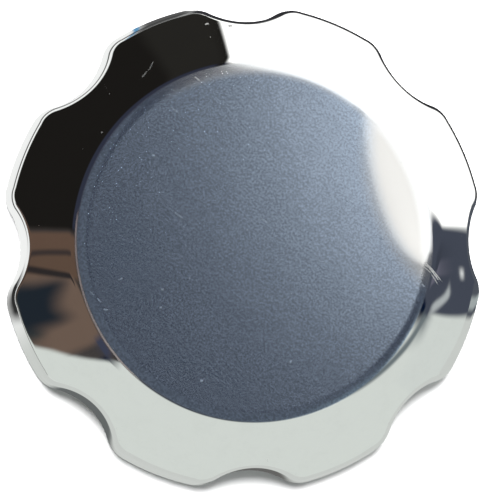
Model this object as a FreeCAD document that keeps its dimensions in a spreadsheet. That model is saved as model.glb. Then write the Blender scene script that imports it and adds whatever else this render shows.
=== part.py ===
import FreeCAD, Part

import math
import os
import re

import Sketcher

# Fuel cap with a fluted sheet-metal cover, a sealing liner and a sprung bayonet drum.
# +Z is the cap's axis, z = 0 is the plane of the skirt's lower rim, and all lengths are
# millimetres. The flutes lie on the axes and every 45 degrees, the ears point along Y.

SIZES = {
    # Cover: one drawn sheet with a flat disc, a sloping ring and a fluted skirt.
    "lobe_radius": 38.0,
    "skirt_draft": 0.9,
    "cover_height": 14.5,
    "shoulder_height": 5.4,
    "ring_width": 10.0,
    "cover_sheet": 0.8,
    "lobe_count": 8,
    "flute_depth": 3.0,
    "flute_draft": 1.0,
    "flute_radius": 11.0,
    "corner_round": 5.0,
    "shoulder_round": 2.3,
    "disc_round": 4.5,
    "hem_width": 2.0,
    "hem_round": 0.6,
    # Liner: the pressed pan that closes the cover and carries the gasket.
    "liner_sheet": 0.8,
    "liner_bend": 0.8,
    "liner_play": 0.5,
    "crown_gap": 0.1,
    "flange_width": 2.9,
    # Gasket: a flat ring in the top of the neck space.
    "gasket_thickness": 2.5,
    "gasket_play": 0.1,
    "gasket_round": 0.3,
    # Drum: the sliding bayonet cup with two ears, open downwards.
    "neck_lip_width": 10.5,
    "drum_sheet": 1.0,
    "drum_bend": 0.8,
    "drum_gap": 0.1,
    "drum_side_gap": 0.5,
    "lip_space": 5.0,
    "ear_reach": 4.5,
    "ear_angle": 48.0,
    "ear_corner": 1.6,
    "ear_bend": 0.6,
    "detent_radius": 0.5,
    "window_gap": 0.5,
    "window_count": 4,
    # Stud: the flatted pin that carries the spring.
    "stud_radius": 3.0,
    "stud_flat": 2.4,
    "stud_play": 0.08,
    "stud_head_radius": 6.0,
    "stud_head_height": 1.2,
    "stud_rivet_radius": 4.3,
    "stud_rivet_height": 1.0,
    "stud_seal_thickness": 0.4,
    # Spring, with a seat on the stud and a washer under the drum's top.
    "spring_wire": 1.1,
    "spring_radius": 6.7,
    "spring_turns": 3.25,
    "spring_end_gap": 0.05,
    "seat_height": 1.9,
    "seat_sheet": 1.0,
    "seat_play": 0.3,
    "seat_rim": 0.9,
    "washer_thickness": 0.5,
    "washer_play": 0.3,
    # Vent: an umbrella valve in the liner, a foam filter and a baffle over it.
    "valve_inset": 6.5,
    "valve_radius": 3.9,
    "valve_depth": 0.9,
    "valve_lip": 0.35,
    "valve_stem_radius": 1.0,
    "valve_bulb_radius": 1.5,
    "valve_bulb_gap": 0.1,
    "valve_port_radius": 0.5,
    "valve_port_offset": 2.4,
    "valve_port_count": 4,
    "baffle_gap": 0.4,
    "filter_inset": 2.1,
    "filter_play": 0.4,
    "baffle_sheet": 0.5,
    "baffle_bend": 0.4,
    "baffle_hole_radius": 0.8,
    "baffle_hole_inset": 5.0,
    "baffle_hole_count": 6,
}

DERIVED = {
    # The ring's slope, and how far its two corners shift when the sheet is offset inwards.
    "shoulder_radius": "lobe_radius - skirt_draft",
    "disc_radius": "shoulder_radius - ring_width",
    "ring_slope": "atan((cover_height - shoulder_height) / (shoulder_radius - disc_radius)) / 1 deg",
    "shoulder_shift": "tan((90 - ring_slope) / 2 * 1 deg)",
    "disc_shift": "tan(ring_slope / 2 * 1 deg)",
    # The liner's flange lies inside the flutes, and the neck takes the space within its wall.
    "flange_radius": "lobe_radius - flute_depth - cover_sheet - liner_play",
    "neck_space_radius": "flange_radius - flange_width - liner_sheet",
    # The liner's crown seats under the ring, so its height follows from the cover.
    "liner_wall": "neck_space_radius + liner_sheet",
    "crown_round": "liner_bend + liner_sheet",
    "ring_over_wall": "shoulder_height + (shoulder_radius - liner_wall) * tan(ring_slope * 1 deg)",
    "crown_relief": "crown_round * (sin(ring_slope * 1 deg) + cos(ring_slope * 1 deg) - 1)",
    "liner_top": "ring_over_wall - (crown_gap + cover_sheet - crown_relief) / cos(ring_slope * 1 deg)",
    "liner_under": "liner_top - liner_sheet",
    "gasket_under": "liner_under - gasket_thickness",
    "gasket_radius": "neck_space_radius - liner_bend - gasket_play",
    # The drum hangs under the liner inside the neck's lip, and its ears hook below that lip.
    "drum_radius": "neck_space_radius - neck_lip_width",
    "ear_radius": "drum_radius + ear_reach",
    "drum_top": "liner_under - drum_gap",
    "drum_ceiling": "drum_top - drum_sheet",
    "ear_top": "gasket_under - lip_space",
    "ear_under": "ear_top - drum_sheet",
    "window_radius": "valve_radius + window_gap",
    "valve_offset": "drum_radius - valve_inset",
    # The stud hangs by its head over a seal, and the seat rests on its riveted end.
    "head_under": "liner_top + stud_seal_thickness",
    "seat_top": "seat_height + seat_sheet",
    "seat_radius": "spring_radius + spring_wire / 2 + seat_play",
    "washer_under": "drum_ceiling - washer_thickness",
    "spring_top": "washer_under - spring_end_gap",
    # The filter lies on the liner round the stud's head, under the baffle, and the baffle
    # stays a gap below the cover's disc.
    "filter_bore": "stud_head_radius + filter_play",
    "filter_radius": "disc_radius - filter_inset",
    "baffle_under": "cover_height - cover_sheet - baffle_gap - baffle_sheet",
    "baffle_radius": "filter_radius + filter_play + baffle_sheet",
    "baffle_hole_offset": "filter_radius - baffle_hole_inset",
}

CUT_MARGIN = 2.0
TOLERANCE = 0.001

DOC = FreeCAD.newDocument("FuelCap")
SUB_PARTS = []


# Sheets and expressions

def fill_sheet(name, entries):
    """Make a sheet that holds each entry's text in a cell with that alias."""
    sheet = DOC.addObject("Spreadsheet::Sheet", name)
    for row, (alias, text) in enumerate(entries, start=1):
        sheet.set(f"A{row}", alias)
        sheet.set(f"B{row}", text)
        sheet.setAlias(f"B{row}", alias)
    DOC.recompute()
    return sheet


def linked(text):
    """Name the sheet of every size in an expression."""
    def with_sheet(match):
        word = match.group()
        if word in SIZES:
            return "Sizes." + word
        if word in DERIVED:
            return "Derived." + word
        return word
    return re.sub(r"[a-z_]+", with_sheet, text)


def mm(text):
    """Give an expression in sizes the unit of a length."""
    return f"({linked(text)}) * 1 mm"


def size(name):
    """Read the present value of a size or a derived size."""
    sheet = SIZES_SHEET if name in SIZES else DERIVED_SHEET
    return float(sheet.get(name))


SIZES_SHEET = fill_sheet("Sizes", [(name, str(value)) for name, value in SIZES.items()])
DERIVED_SHEET = fill_sheet("Derived", [(name, "=" + linked(text)) for name, text in DERIVED.items()])


# Building blocks

def new_body(name):
    """Start a body with its name as label."""
    body = DOC.addObject("PartDesign::Body", name)
    body.Label = name
    return body


def origin_of(body, role):
    """Find a body's own origin plane or axis."""
    return next(item for item in body.Origin.OriginFeatures if item.Role == role)


def outline(body, name, role, corners):
    """Draw a closed polygon whose corners are given as pairs of expressions."""
    sketch = body.newObject("Sketcher::SketchObject", name)
    sketch.AttachmentSupport = (origin_of(body, role), "")
    sketch.MapMode = "FlatFace"
    count = len(corners)
    turn = 2 * math.pi / count
    start = [FreeCAD.Vector(math.cos(turn * i), math.sin(turn * i), 0) for i in range(count)]
    for i in range(count):
        sketch.addGeometry(Part.LineSegment(start[i], start[(i + 1) % count]), False)
    for i in range(count):
        sketch.addConstraint(Sketcher.Constraint("Coincident", i, 2, (i + 1) % count, 1))
    for i, (across, up) in enumerate(corners):
        for kind, text, value in (("DistanceX", across, start[i].x), ("DistanceY", up, start[i].y)):
            index = sketch.addConstraint(Sketcher.Constraint(kind, -1, 1, i, 1, value))
            sketch.setExpression(f"Constraints[{index}]", mm(text))
    return sketch


def circle(body, name, across, radius):
    """Draw a circle on the body's XY plane, its centre out along X."""
    sketch = body.newObject("Sketcher::SketchObject", name)
    sketch.AttachmentSupport = (origin_of(body, "XY_Plane"), "")
    sketch.MapMode = "FlatFace"
    sketch.addGeometry(Part.Circle(FreeCAD.Vector(1, 0, 0), FreeCAD.Vector(0, 0, 1), 1), False)
    place = sketch.addConstraint(Sketcher.Constraint("DistanceX", -1, 1, 0, 3, 1))
    sketch.addConstraint(Sketcher.Constraint("DistanceY", -1, 1, 0, 3, 0))
    width = sketch.addConstraint(Sketcher.Constraint("Radius", 0, 1))
    sketch.setExpression(f"Constraints[{place}]", mm(across))
    sketch.setExpression(f"Constraints[{width}]", mm(radius))
    return sketch


def turned(body, name, corners):
    """Revolve a section of the XZ plane about Z."""
    section = outline(body, name + "_section", "XZ_Plane", corners)
    feature = body.newObject("PartDesign::Revolution", name)
    feature.Profile = section
    feature.ReferenceAxis = (section, ["V_Axis"])
    feature.Angle = 360
    DOC.recompute()
    return feature


def drilled(body, name, across, radius):
    """Cut a round hole right through the body, its centre out along X."""
    pocket = body.newObject("PartDesign::Pocket", name)
    pocket.Profile = circle(body, name + "_circle", across, radius)
    pocket.Type = "ThroughAll"
    pocket.Midplane = True
    DOC.recompute()
    return pocket


def patterned(body, name, feature, count):
    """Repeat a feature evenly about Z."""
    pattern = body.newObject("PartDesign::PolarPattern", name)
    pattern.Originals = [feature]
    pattern.Axis = (origin_of(body, "Z_Axis"), [""])
    pattern.Angle = 360
    pattern.setExpression("Occurrences", linked(count))
    body.Tip = pattern
    DOC.recompute()
    return pattern


def rounded(body, name, base, radius, test):
    """Fillet the edges of a feature that pass a test."""
    edges = [f"Edge{i}" for i, edge in enumerate(base.Shape.Edges, start=1) if test(edge)]
    if not edges:
        raise RuntimeError(f"{body.Label}: no edge for {name}")
    fillet = body.newObject("PartDesign::Fillet", name)
    fillet.Base = (base, edges)
    fillet.setExpression("Radius", radius)
    DOC.recompute()
    return fillet


def ring_at(*places):
    """Make a test for full circles about Z with these radii and heights."""
    def test(edge):
        curve = edge.Curve
        if curve.TypeId != "Part::GeomCircle":
            return False
        return any(
            abs(curve.Radius - radius) < TOLERANCE
            and abs(curve.Center.z - height) < TOLERANCE
            and math.hypot(curve.Center.x, curve.Center.y) < TOLERANCE
            for radius, height in places
        )
    return test


def boolean(kind, name, base, tool):
    """Combine two solids with a Part boolean that keeps its inputs in the tree."""
    result = DOC.addObject(f"Part::{kind}", name)
    result.Label = name
    result.Base = base
    result.Tool = tool
    return result


def flatted_rod(name, radius, flat, low, high):
    """Make an upright round rod with two flats that face along Y."""
    rod = DOC.addObject("Part::Cylinder", name + "_round")
    rod.setExpression("Radius", mm(radius))
    rod.setExpression("Height", mm(f"{high} - ({low})"))
    rod.setExpression("Placement.Base.z", mm(low))
    slab = DOC.addObject("Part::Box", name + "_slab")
    slab.setExpression("Length", mm(f"2 * ({radius})"))
    slab.setExpression("Width", mm(f"2 * ({flat})"))
    slab.setExpression("Height", mm(f"{high} - ({low})"))
    slab.setExpression("Placement.Base.x", mm(f"-({radius})"))
    slab.setExpression("Placement.Base.y", mm(f"-({flat})"))
    slab.setExpression("Placement.Base.z", mm(low))
    return boolean("Common", name, rod, slab)


def keep(sub_part):
    """Put a finished sub-part on the list of pieces to write."""
    SUB_PARTS.append(sub_part)


# Cover

def skirt_corner(inset, height):
    """Place a section's corner on the skirt's drafted side, moved inwards by an inset."""
    return f"lobe_radius - {inset} - skirt_draft * ({height}) / shoulder_height", height


def fluted_body(name, inset, section, middle):
    """Revolve a section whose side is the skirt's, and cut its flutes and their corners.

    The middle is a height that only the skirt's upright edges pass.
    """
    body = new_body(name)
    turned(body, name + "_form", section)

    axis = "(lobe_radius - flute_depth + flute_radius)"
    bottom = f"-{CUT_MARGIN}"
    top = f"(cover_height + {CUT_MARGIN})"
    growth = "flute_draft / shoulder_height"
    cutter = [
        (axis, bottom),
        (f"{axis} + flute_radius + {inset} + {growth} * {bottom}", bottom),
        (f"{axis} + flute_radius + {inset} + {growth} * {top}", top),
        (axis, top),
    ]
    profile = outline(body, name + "_flute_section", "XZ_Plane", cutter)
    flute = body.newObject("PartDesign::Groove", name + "_flute")
    flute.Profile = profile
    flute.ReferenceAxis = (profile, ["Edge4"])
    flute.Angle = 360
    fluted = patterned(body, name + "_flutes", flute, "lobe_count")

    def upright(edge):
        return edge.BoundBox.ZMin < middle < edge.BoundBox.ZMax

    corner = mm(f"max(corner_round - {inset}; hem_round / 2)")
    return body, rounded(body, name + "_corners", fluted, corner, upright)


def crowned_body(name, inset, floor):
    """Make the cover's whole form, moved inwards by an inset, with its shoulder and disc rounded.

    The floor is the height of its flat underside.
    """
    low = size("shoulder_height") / 2
    body, corners = fluted_body(name, inset, [
        ("0", floor),
        skirt_corner(inset, floor),
        (f"shoulder_radius - {inset}", f"shoulder_height - {inset} * shoulder_shift"),
        (f"disc_radius - {inset} * disc_shift", f"cover_height - {inset}"),
        ("0", f"cover_height - {inset}"),
    ], low)
    disc_height = corners.Shape.BoundBox.ZMax

    def shoulder_edge(edge):
        box = edge.BoundBox
        seam = edge.Curve.TypeId == "Part::GeomLine"
        return box.ZMin > low and box.ZMax < disc_height - TOLERANCE and not seam

    def disc_edge(edge):
        return edge.BoundBox.ZMin > disc_height - TOLERANCE

    shoulder = rounded(body, name + "_shoulder", corners, mm(f"shoulder_round - {inset}"), shoulder_edge)
    disc = rounded(body, name + "_disc_edge", shoulder, mm(f"disc_round - {inset}"), disc_edge)
    return body, disc


def build_cover():
    """Drawn cover: disc, ring, fluted skirt, and a hem folded in under the liner."""
    outer, disc = crowned_body("cover_form", "0", "0")

    def rim(edge):
        return edge.BoundBox.ZMax < TOLERANCE

    rounded(outer, "cover_rim", disc, mm("hem_round"), rim)
    cavity, _ = crowned_body("cover_cavity", "cover_sheet", "cover_sheet")
    hem = "(cover_sheet + hem_width)"
    mouth, _ = fluted_body("cover_mouth", hem, [
        ("0", f"-{CUT_MARGIN}"),
        skirt_corner(hem, f"-{CUT_MARGIN}"),
        skirt_corner(hem, "2 * cover_sheet"),
        ("0", "2 * cover_sheet"),
    ], 0.0)
    hollow = boolean("Fuse", "cover_hollow", cavity, mouth)
    keep(boolean("Cut", "cover_shell", outer, hollow))


# Liner and gasket

def build_liner():
    """Pressed pan with a flange on the hem, a wall round the neck, and the vent's ports."""
    body = new_body("liner_form")
    flange_top = "cover_sheet + liner_sheet"
    pan = turned(body, "liner_pan", [
        ("0", "liner_under"),
        ("neck_space_radius", "liner_under"),
        ("neck_space_radius", "cover_sheet"),
        ("flange_radius", "cover_sheet"),
        ("flange_radius", flange_top),
        ("liner_wall", flange_top),
        ("liner_wall", "liner_top"),
        ("0", "liner_top"),
    ])
    inner, wall = size("neck_space_radius"), size("liner_wall")
    low = size("cover_sheet")
    outer_bends = ring_at((wall, size("liner_top")), (inner, low))
    crown = rounded(body, "liner_outer_bends", pan, mm("crown_round"), outer_bends)
    inner_bends = ring_at((inner, size("liner_under")), (wall, low + size("liner_sheet")))
    rounded(body, "liner_inner_bends", crown, mm("liner_bend"), inner_bends)
    drilled(body, "stem_hole", "valve_offset", "valve_stem_radius")
    key_hole = flatted_rod("liner_key", "stud_radius + stud_play", "stud_flat + stud_play",
                           "liner_under - liner_sheet", "liner_top + liner_sheet")
    ports = valve_ports()
    keep(boolean("Cut", "liner_plate", body, boolean("Fuse", "liner_holes", key_hole, ports)))


def valve_ports():
    """Make the ring of small pins that pierce the liner round the valve's stem."""
    body = new_body("valve_port_pins")
    pin = body.newObject("PartDesign::Pad", "valve_port_pin")
    pin.Profile = circle(body, "valve_port_circle", "valve_port_offset", "valve_port_radius")
    pin.setExpression("Length", mm("3 * liner_sheet"))
    DOC.recompute()
    patterned(body, "valve_port_ring", pin, "valve_port_count")
    body.setExpression("Placement.Base.x", mm("valve_offset"))
    body.setExpression("Placement.Base.z", mm("liner_under - liner_sheet"))
    return body


def build_gasket():
    """Flat sealing ring that the neck's lip presses against."""
    body = new_body("gasket")
    bore = "drum_radius + drum_side_gap"
    ring = turned(body, "gasket_ring", [
        (bore, "gasket_under"),
        ("gasket_radius", "gasket_under"),
        ("gasket_radius", "liner_under"),
        (bore, "liner_under"),
    ])
    inner, outer = size("drum_radius") + size("drum_side_gap"), size("gasket_radius")
    low, high = size("gasket_under"), size("liner_under")
    edges = ring_at((inner, low), (outer, low), (inner, high), (outer, high))
    rounded(body, "gasket_edges", ring, mm("gasket_round"), edges)
    keep(body)


# Drum

def build_drum():
    """Bayonet drum: a cup with windows in its top and two ears at its lower rim."""
    body = new_body("drum_form")
    cup = turned(body, "drum_cup", [
        ("0", "drum_ceiling"),
        ("drum_radius - drum_sheet", "drum_ceiling"),
        ("drum_radius - drum_sheet", "ear_under"),
        ("drum_radius", "ear_under"),
        ("drum_radius", "drum_top"),
        ("0", "drum_top"),
    ])
    outer, inner = size("drum_radius"), size("drum_radius") - size("drum_sheet")
    outside = rounded(body, "drum_outer_bend", cup, mm("drum_bend + drum_sheet"),
                      ring_at((outer, size("drum_top"))))
    rounded(body, "drum_inner_bend", outside, mm("drum_bend"),
            ring_at((inner, size("drum_ceiling"))))

    ear_section = outline(body, "ear_section", "YZ_Plane", [
        ("drum_radius - drum_sheet / 2", "ear_under"),
        ("ear_radius", "ear_under"),
        ("ear_radius", "ear_top"),
        ("drum_radius - drum_sheet / 2", "ear_top"),
    ])
    ear = body.newObject("PartDesign::Revolution", "ear")
    ear.Profile = ear_section
    ear.ReferenceAxis = (ear_section, ["V_Axis"])
    ear.Midplane = True
    ear.setExpression("Angle", linked("ear_angle * 1 deg"))
    DOC.recompute()
    ears = patterned(body, "ears", ear, "2")

    def ear_corner(edge):
        box = edge.BoundBox
        upright = abs(box.ZLength - size("drum_sheet")) < TOLERANCE and box.XLength + box.YLength < TOLERANCE
        return upright and math.hypot(box.XMin, box.YMin) > size("ear_radius") - TOLERANCE

    corners = rounded(body, "ear_corners", ears, mm("ear_corner"), ear_corner)

    def ear_root(edge):
        box = edge.BoundBox
        level = box.ZLength < TOLERANCE and abs(box.ZMin - size("ear_top")) < TOLERANCE
        return level and ring_at((outer, size("ear_top")))(edge)

    rounded(body, "ear_bends", corners, mm("ear_bend"), ear_root)

    windows = drilled(body, "window", "valve_offset", "window_radius")
    patterned(body, "windows", windows, "window_count")
    key_hole = flatted_rod("drum_key", "stud_radius + stud_play", "stud_flat + stud_play",
                           "drum_ceiling - drum_sheet", "drum_top + drum_sheet")
    pierced = boolean("Cut", "drum_pierced", body, key_hole)
    keep(boolean("Fuse", "bayonet_drum", pierced, detent_ribs()))


def detent_ribs():
    """Make the half-round rib on top of each ear that drops into the neck's notch."""
    rib = DOC.addObject("Part::Cylinder", "detent_rib")
    rib.setExpression("Radius", mm("detent_radius"))
    rib.setExpression("Height", mm("2 * ear_radius - 2 * drum_sheet"))
    rib.Placement.Rotation = FreeCAD.Rotation(FreeCAD.Vector(1, 0, 0), -90)
    rib.setExpression("Placement.Base.y", mm("drum_sheet - ear_radius"))
    rib.setExpression("Placement.Base.z", mm("ear_top"))
    bore = DOC.addObject("Part::Cylinder", "detent_bore")
    bore.setExpression("Radius", mm("drum_radius - drum_sheet / 2"))
    bore.setExpression("Height", mm("2 * lip_space"))
    bore.setExpression("Placement.Base.z", mm("ear_top - lip_space"))
    return boolean("Cut", "detent_ribs", rib, bore)


# Stud and spring

def build_stud():
    """Flatted stud: a head over the liner's seal and a riveted end under the spring seat."""
    shank = flatted_rod("stud_shank", "stud_radius", "stud_flat",
                        "seat_height - stud_rivet_height / 2", "head_under + stud_head_height / 2")
    body = new_body("stud_head")
    head = turned(body, "stud_head_disc", [
        ("0", "head_under"),
        ("stud_head_radius", "head_under"),
        ("stud_head_radius", "head_under + stud_head_height"),
        ("0", "head_under + stud_head_height"),
    ])
    head_top = size("head_under") + size("stud_head_height")
    rounded(body, "stud_head_edge", head, mm("stud_head_height / 3"),
            ring_at((size("stud_head_radius"), head_top)))
    end = new_body("stud_rivet")
    rivet = turned(end, "stud_rivet_disc", [
        ("0", "seat_height - stud_rivet_height"),
        ("stud_rivet_radius", "seat_height - stud_rivet_height"),
        ("stud_rivet_radius", "seat_height"),
        ("0", "seat_height"),
    ])
    rivet_low = size("seat_height") - size("stud_rivet_height")
    rounded(end, "stud_rivet_edge", rivet, mm("stud_rivet_height * 2 / 3"),
            ring_at((size("stud_rivet_radius"), rivet_low)))
    keep(boolean("Fuse", "stud", boolean("Fuse", "stud_upper", shank, body), end))


def build_stud_seal():
    """Fibre washer between the stud's head and the liner."""
    body = new_body("stud_seal")
    turned(body, "stud_seal_ring", [
        ("stud_radius + stud_play", "liner_top"),
        ("stud_head_radius", "liner_top"),
        ("stud_head_radius", "head_under"),
        ("stud_radius + stud_play", "head_under"),
    ])
    keep(body)


def build_spring_seat():
    """Cupped washer on the stud's riveted end, its rim round the spring's lowest coil."""
    body = new_body("spring_seat_form")
    cup = turned(body, "spring_seat_cup", [
        ("0", "seat_height"),
        ("seat_radius + seat_sheet", "seat_height"),
        ("seat_radius + seat_sheet", "seat_top + seat_rim"),
        ("seat_radius", "seat_top + seat_rim"),
        ("seat_radius", "seat_top"),
        ("0", "seat_top"),
    ])
    rounded(body, "spring_seat_edge", cup, mm("seat_sheet"),
            ring_at((size("seat_radius") + size("seat_sheet"), size("seat_height"))))
    key_hole = flatted_rod("seat_key", "stud_radius + stud_play", "stud_flat + stud_play",
                           "seat_height - seat_sheet", "seat_top + seat_sheet")
    keep(boolean("Cut", "spring_seat", body, key_hole))


def build_thrust_washer():
    """Flat washer between the spring and the drum's top."""
    body = new_body("thrust_washer")
    turned(body, "thrust_washer_ring", [
        ("stud_radius + washer_play", "washer_under"),
        ("spring_radius + spring_wire", "washer_under"),
        ("spring_radius + spring_wire", "drum_ceiling"),
        ("stud_radius + washer_play", "drum_ceiling"),
    ])
    keep(body)


def build_spring():
    """Compression spring, its two ends ground flat."""
    body = new_body("spring_coil")
    section = body.newObject("Sketcher::SketchObject", "wire_section")
    section.AttachmentSupport = (origin_of(body, "XZ_Plane"), "")
    section.MapMode = "FlatFace"
    section.addGeometry(Part.Circle(FreeCAD.Vector(1, 0, 0), FreeCAD.Vector(0, 0, 1), 1), False)
    across = section.addConstraint(Sketcher.Constraint("DistanceX", -1, 1, 0, 3, 1))
    up = section.addConstraint(Sketcher.Constraint("DistanceY", -1, 1, 0, 3, 1))
    wire = section.addConstraint(Sketcher.Constraint("Radius", 0, 1))
    section.setExpression(f"Constraints[{across}]", mm("spring_radius"))
    section.setExpression(f"Constraints[{up}]", mm("seat_top"))
    section.setExpression(f"Constraints[{wire}]", mm("spring_wire / 2"))
    coil = body.newObject("PartDesign::AdditiveHelix", "coil")
    coil.Profile = section
    coil.ReferenceAxis = (section, ["V_Axis"])
    coil.Mode = "height-turns-angle"
    coil.setExpression("Height", mm("spring_top - seat_top"))
    coil.setExpression("Turns", linked("spring_turns"))
    DOC.recompute()
    ground = DOC.addObject("Part::Cylinder", "spring_ground")
    ground.setExpression("Radius", mm("spring_radius + 2 * spring_wire"))
    ground.setExpression("Height", mm("spring_top - seat_top"))
    ground.setExpression("Placement.Base.z", mm("seat_top"))
    keep(boolean("Common", "spring", body, ground))


# Vent

def build_vent_valve():
    """Umbrella valve: a thin dome under the liner's ports, held by its bulb above."""
    body = new_body("vent_valve")
    dome_low = "liner_under - valve_depth"
    stem_top = "liner_top"
    turned(body, "vent_valve_form", [
        ("0", dome_low),
        ("valve_stem_radius", dome_low),
        ("valve_radius", "liner_under - valve_lip"),
        ("valve_radius", "liner_under"),
        ("valve_port_offset + 2 * valve_port_radius", "liner_under"),
        ("valve_stem_radius", "liner_under - valve_lip"),
        ("valve_stem_radius", stem_top),
        ("valve_bulb_radius", stem_top),
        ("valve_stem_radius", "baffle_under - valve_bulb_gap"),
        ("0", "baffle_under - valve_bulb_gap"),
    ])
    body.setExpression("Placement.Base.x", mm("valve_offset"))
    keep(body)


def build_vent_filter():
    """Foam ring on the liner, round the stud's head and over the valve."""
    body = new_body("vent_filter")
    turned(body, "vent_filter_ring", [
        ("filter_bore", "liner_top"),
        ("filter_radius", "liner_top"),
        ("filter_radius", "baffle_under"),
        ("filter_bore", "baffle_under"),
    ])
    drilled(body, "valve_pocket", "valve_offset", "valve_port_offset + 2 * valve_port_radius")
    keep(body)


def build_vent_baffle():
    """Shallow lid over the foam, with breathing holes away from the valve."""
    body = new_body("vent_baffle")
    lid = turned(body, "vent_baffle_lid", [
        ("filter_bore", "baffle_under"),
        ("baffle_radius - baffle_sheet", "baffle_under"),
        ("baffle_radius - baffle_sheet", "liner_top"),
        ("baffle_radius", "liner_top"),
        ("baffle_radius", "baffle_under + baffle_sheet"),
        ("filter_bore", "baffle_under + baffle_sheet"),
    ])
    top = size("baffle_under") + size("baffle_sheet")
    rounded(body, "vent_baffle_bend", lid, mm("baffle_bend"), ring_at((size("baffle_radius"), top)))
    hole = drilled(body, "breathing_hole", "baffle_hole_offset", "baffle_hole_radius")
    patterned(body, "breathing_holes", hole, "baffle_hole_count")
    keep(body)


# Check and write

def write_sub_parts():
    """Refuse any failed object, then write each sub-part to its own file."""
    DOC.recompute()
    for item in DOC.Objects:
        if "Invalid" in item.State or "Error" in item.State:
            raise RuntimeError(f"{item.Label} failed: {item.State}")
    for sub_part in SUB_PARTS:
        shape = sub_part.Shape
        if shape.isNull() or not shape.isValid() or len(shape.Solids) != 1:
            raise RuntimeError(f"{sub_part.Label} isn't one valid solid")
    os.makedirs("parts", exist_ok=True)
    for sub_part in SUB_PARTS:
        sub_part.Shape.exportStep(os.path.join("parts", sub_part.Label + ".step"))
        print(f"{sub_part.Label}: {sub_part.Shape.Volume:.1f} mm3, {len(sub_part.Shape.Faces)} faces")


build_cover()
build_liner()
build_gasket()
build_drum()
build_stud()
build_stud_seal()
build_spring_seat()
build_thrust_washer()
build_spring()
build_vent_valve()
build_vent_filter()
build_vent_baffle()
write_sub_parts()
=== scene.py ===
"""Fuel cap with a fluted chrome cover, lying open side down on white paper."""

import logging
import math
from collections.abc import Sequence
from dataclasses import dataclass, field
from enum import Enum
from typing import Protocol

import bmesh
import bpy
from mathutils import Matrix, Vector


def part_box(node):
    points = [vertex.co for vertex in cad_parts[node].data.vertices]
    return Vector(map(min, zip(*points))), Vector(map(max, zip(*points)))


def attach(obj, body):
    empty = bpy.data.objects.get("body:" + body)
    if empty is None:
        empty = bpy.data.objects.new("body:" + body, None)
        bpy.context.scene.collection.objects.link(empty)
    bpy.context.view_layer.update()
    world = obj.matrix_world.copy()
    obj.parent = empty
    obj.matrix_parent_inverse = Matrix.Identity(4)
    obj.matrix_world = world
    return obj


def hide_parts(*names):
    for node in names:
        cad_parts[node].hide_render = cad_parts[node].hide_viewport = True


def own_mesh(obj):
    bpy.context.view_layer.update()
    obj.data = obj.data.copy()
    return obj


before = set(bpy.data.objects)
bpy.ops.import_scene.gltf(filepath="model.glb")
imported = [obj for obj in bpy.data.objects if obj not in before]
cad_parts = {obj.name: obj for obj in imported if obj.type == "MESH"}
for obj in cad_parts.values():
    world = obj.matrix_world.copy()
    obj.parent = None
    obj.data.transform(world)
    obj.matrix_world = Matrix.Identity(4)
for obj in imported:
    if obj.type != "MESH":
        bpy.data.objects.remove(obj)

MM = 0.001
DEGREE = math.radians(1.0)
SHARP_FROM = math.radians(50)
SHEET_WELD = 2e-7
RING_WELD = 1e-7
WIRE_WELD = 1e-8
LOG = logging.getLogger("fuel_cap")

Triple = tuple[float, float, float]
Colour = Triple
Plan = tuple[float, float]
Socket = bpy.types.NodeSocket

PER_MM: Triple = (1000.0, 1000.0, 1000.0)


class Side(Enum):
    """The two faces of the cover's sheet, which take different finishes."""

    OUTSIDE = 0
    INSIDE = 1


def toned(colour: Colour, share: float) -> Colour:
    """Make a colour darker, or lighter with a share over 1."""
    return tuple(part * share for part in colour)


# Small tools for node trees

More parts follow.
